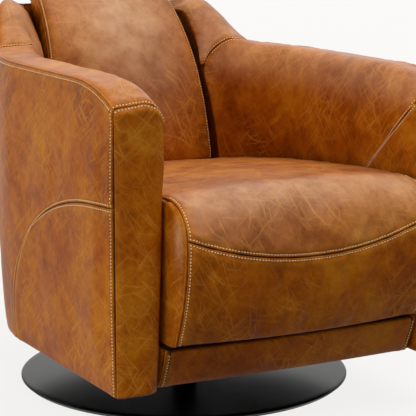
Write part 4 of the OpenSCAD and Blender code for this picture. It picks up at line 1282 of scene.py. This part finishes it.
def studioFloor():
    bpy.ops.object.select_all(action="DESELECT")
    bpy.ops.mesh.primitive_plane_add(size=60, location=(0, 0, 0))
    floor = bpy.context.object
    floor.name = "studio_floor"
    # Matt studio paper: an even pale grey with a faint tooth.
    material, add, place = newMaterial("studio paper", 0.95, Specular_IOR_Level=0.1,
                                       Emission_Color=hexColor(studio["backdrop"]))
    tooth = add(noiseKind, {"Vector": place, "Scale": 1.1}, "Fac")
    paper = add(rampKind, {"Fac": tooth}, stops=[(0.3, studio["floor"]), (0.7, studio["paleFloor"])])
    seen = seenRays(add)
    glow = add(mathKind, {0: seen, 1: studio["glow"]}, operation="MULTIPLY")
    color = add(mixKind, {0: seen, 6: hexColor(studio["bounce"]), 7: paper}, 2, data_type="RGBA")
    floor.data.materials.append(finished(material, Base_Color=color, Emission_Strength=glow))


def sun(name, strength, angle, direction, color):
    data = bpy.data.lights.new(name, "SUN")
    data.energy = strength
    data.angle = radians(angle)
    data.color = color
    placed(name, data).matrix_world = Vector(direction).to_track_quat("Z", "Y").to_matrix().to_4x4()


def studioSky():
    # A tent: a wide bright wall on the left, a dimmer rear and top, and little light from behind the camera.
    world = bpy.data.worlds.new("tent")
    bpy.context.scene.world = world
    world.use_nodes = True
    add = partial(addNode, world.node_tree)
    split = add("ShaderNodeSeparateXYZ", {0: add("ShaderNodeTexCoord", output="Generated")}).node
    level = studio["low"]
    for axis, sign, power, key in (("X", -1, 3.0, "left"), ("Y", 1, 1.0, "rear"), ("Z", 1, 1.0, "top")):
        part = add(mathKind, {0: split.outputs[axis], 1: sign}, operation="MULTIPLY")
        part = add(mathKind, {0: part, 1: 0.0}, operation="MAXIMUM")
        part = add(mathKind, {0: part, 1: power}, operation="POWER")
        if key == "left":
            # The wall at the left ends above: little of its light falls steeply between the arms.
            height = add(mathKind, {0: split.outputs["Z"], 1: 0.0}, operation="MAXIMUM")
            height = add(mathKind, {0: 1.0, 1: height}, operation="SUBTRACT")
            height = add(mathKind, {0: height, 1: 2.0}, operation="POWER")
            part = add(mathKind, {0: part, 1: height}, operation="MULTIPLY")
        level = add(mathKind, {0: part, 1: studio[key], 2: level}, operation="MULTIPLY_ADD")
    seen = seenRays(add)
    strength = add(mixKind, {0: seen, 2: level, 3: 1.0}, 0, data_type="FLOAT")
    color = add(mixKind, {0: seen, 6: hexColor("#FFFDF9"), 7: hexColor(studio["backdrop"])}, 2,
                data_type="RGBA")
    background = world.node_tree.nodes["Background"].inputs
    world.node_tree.links.new(strength, background["Strength"])
    world.node_tree.links.new(color, background["Color"])


studioFloor()
studioSky()
sun("overhead softbox", studio["overhead"], studio["softAngle"], studio["overheadFrom"], (1, 0.99, 0.97))
sun("rear softbox", studio["rearSoft"], studio["softAngle"], studio["rearFrom"], (1, 1, 1))
bpy.context.scene.view_settings.view_transform = "Standard"
print("studio lit")
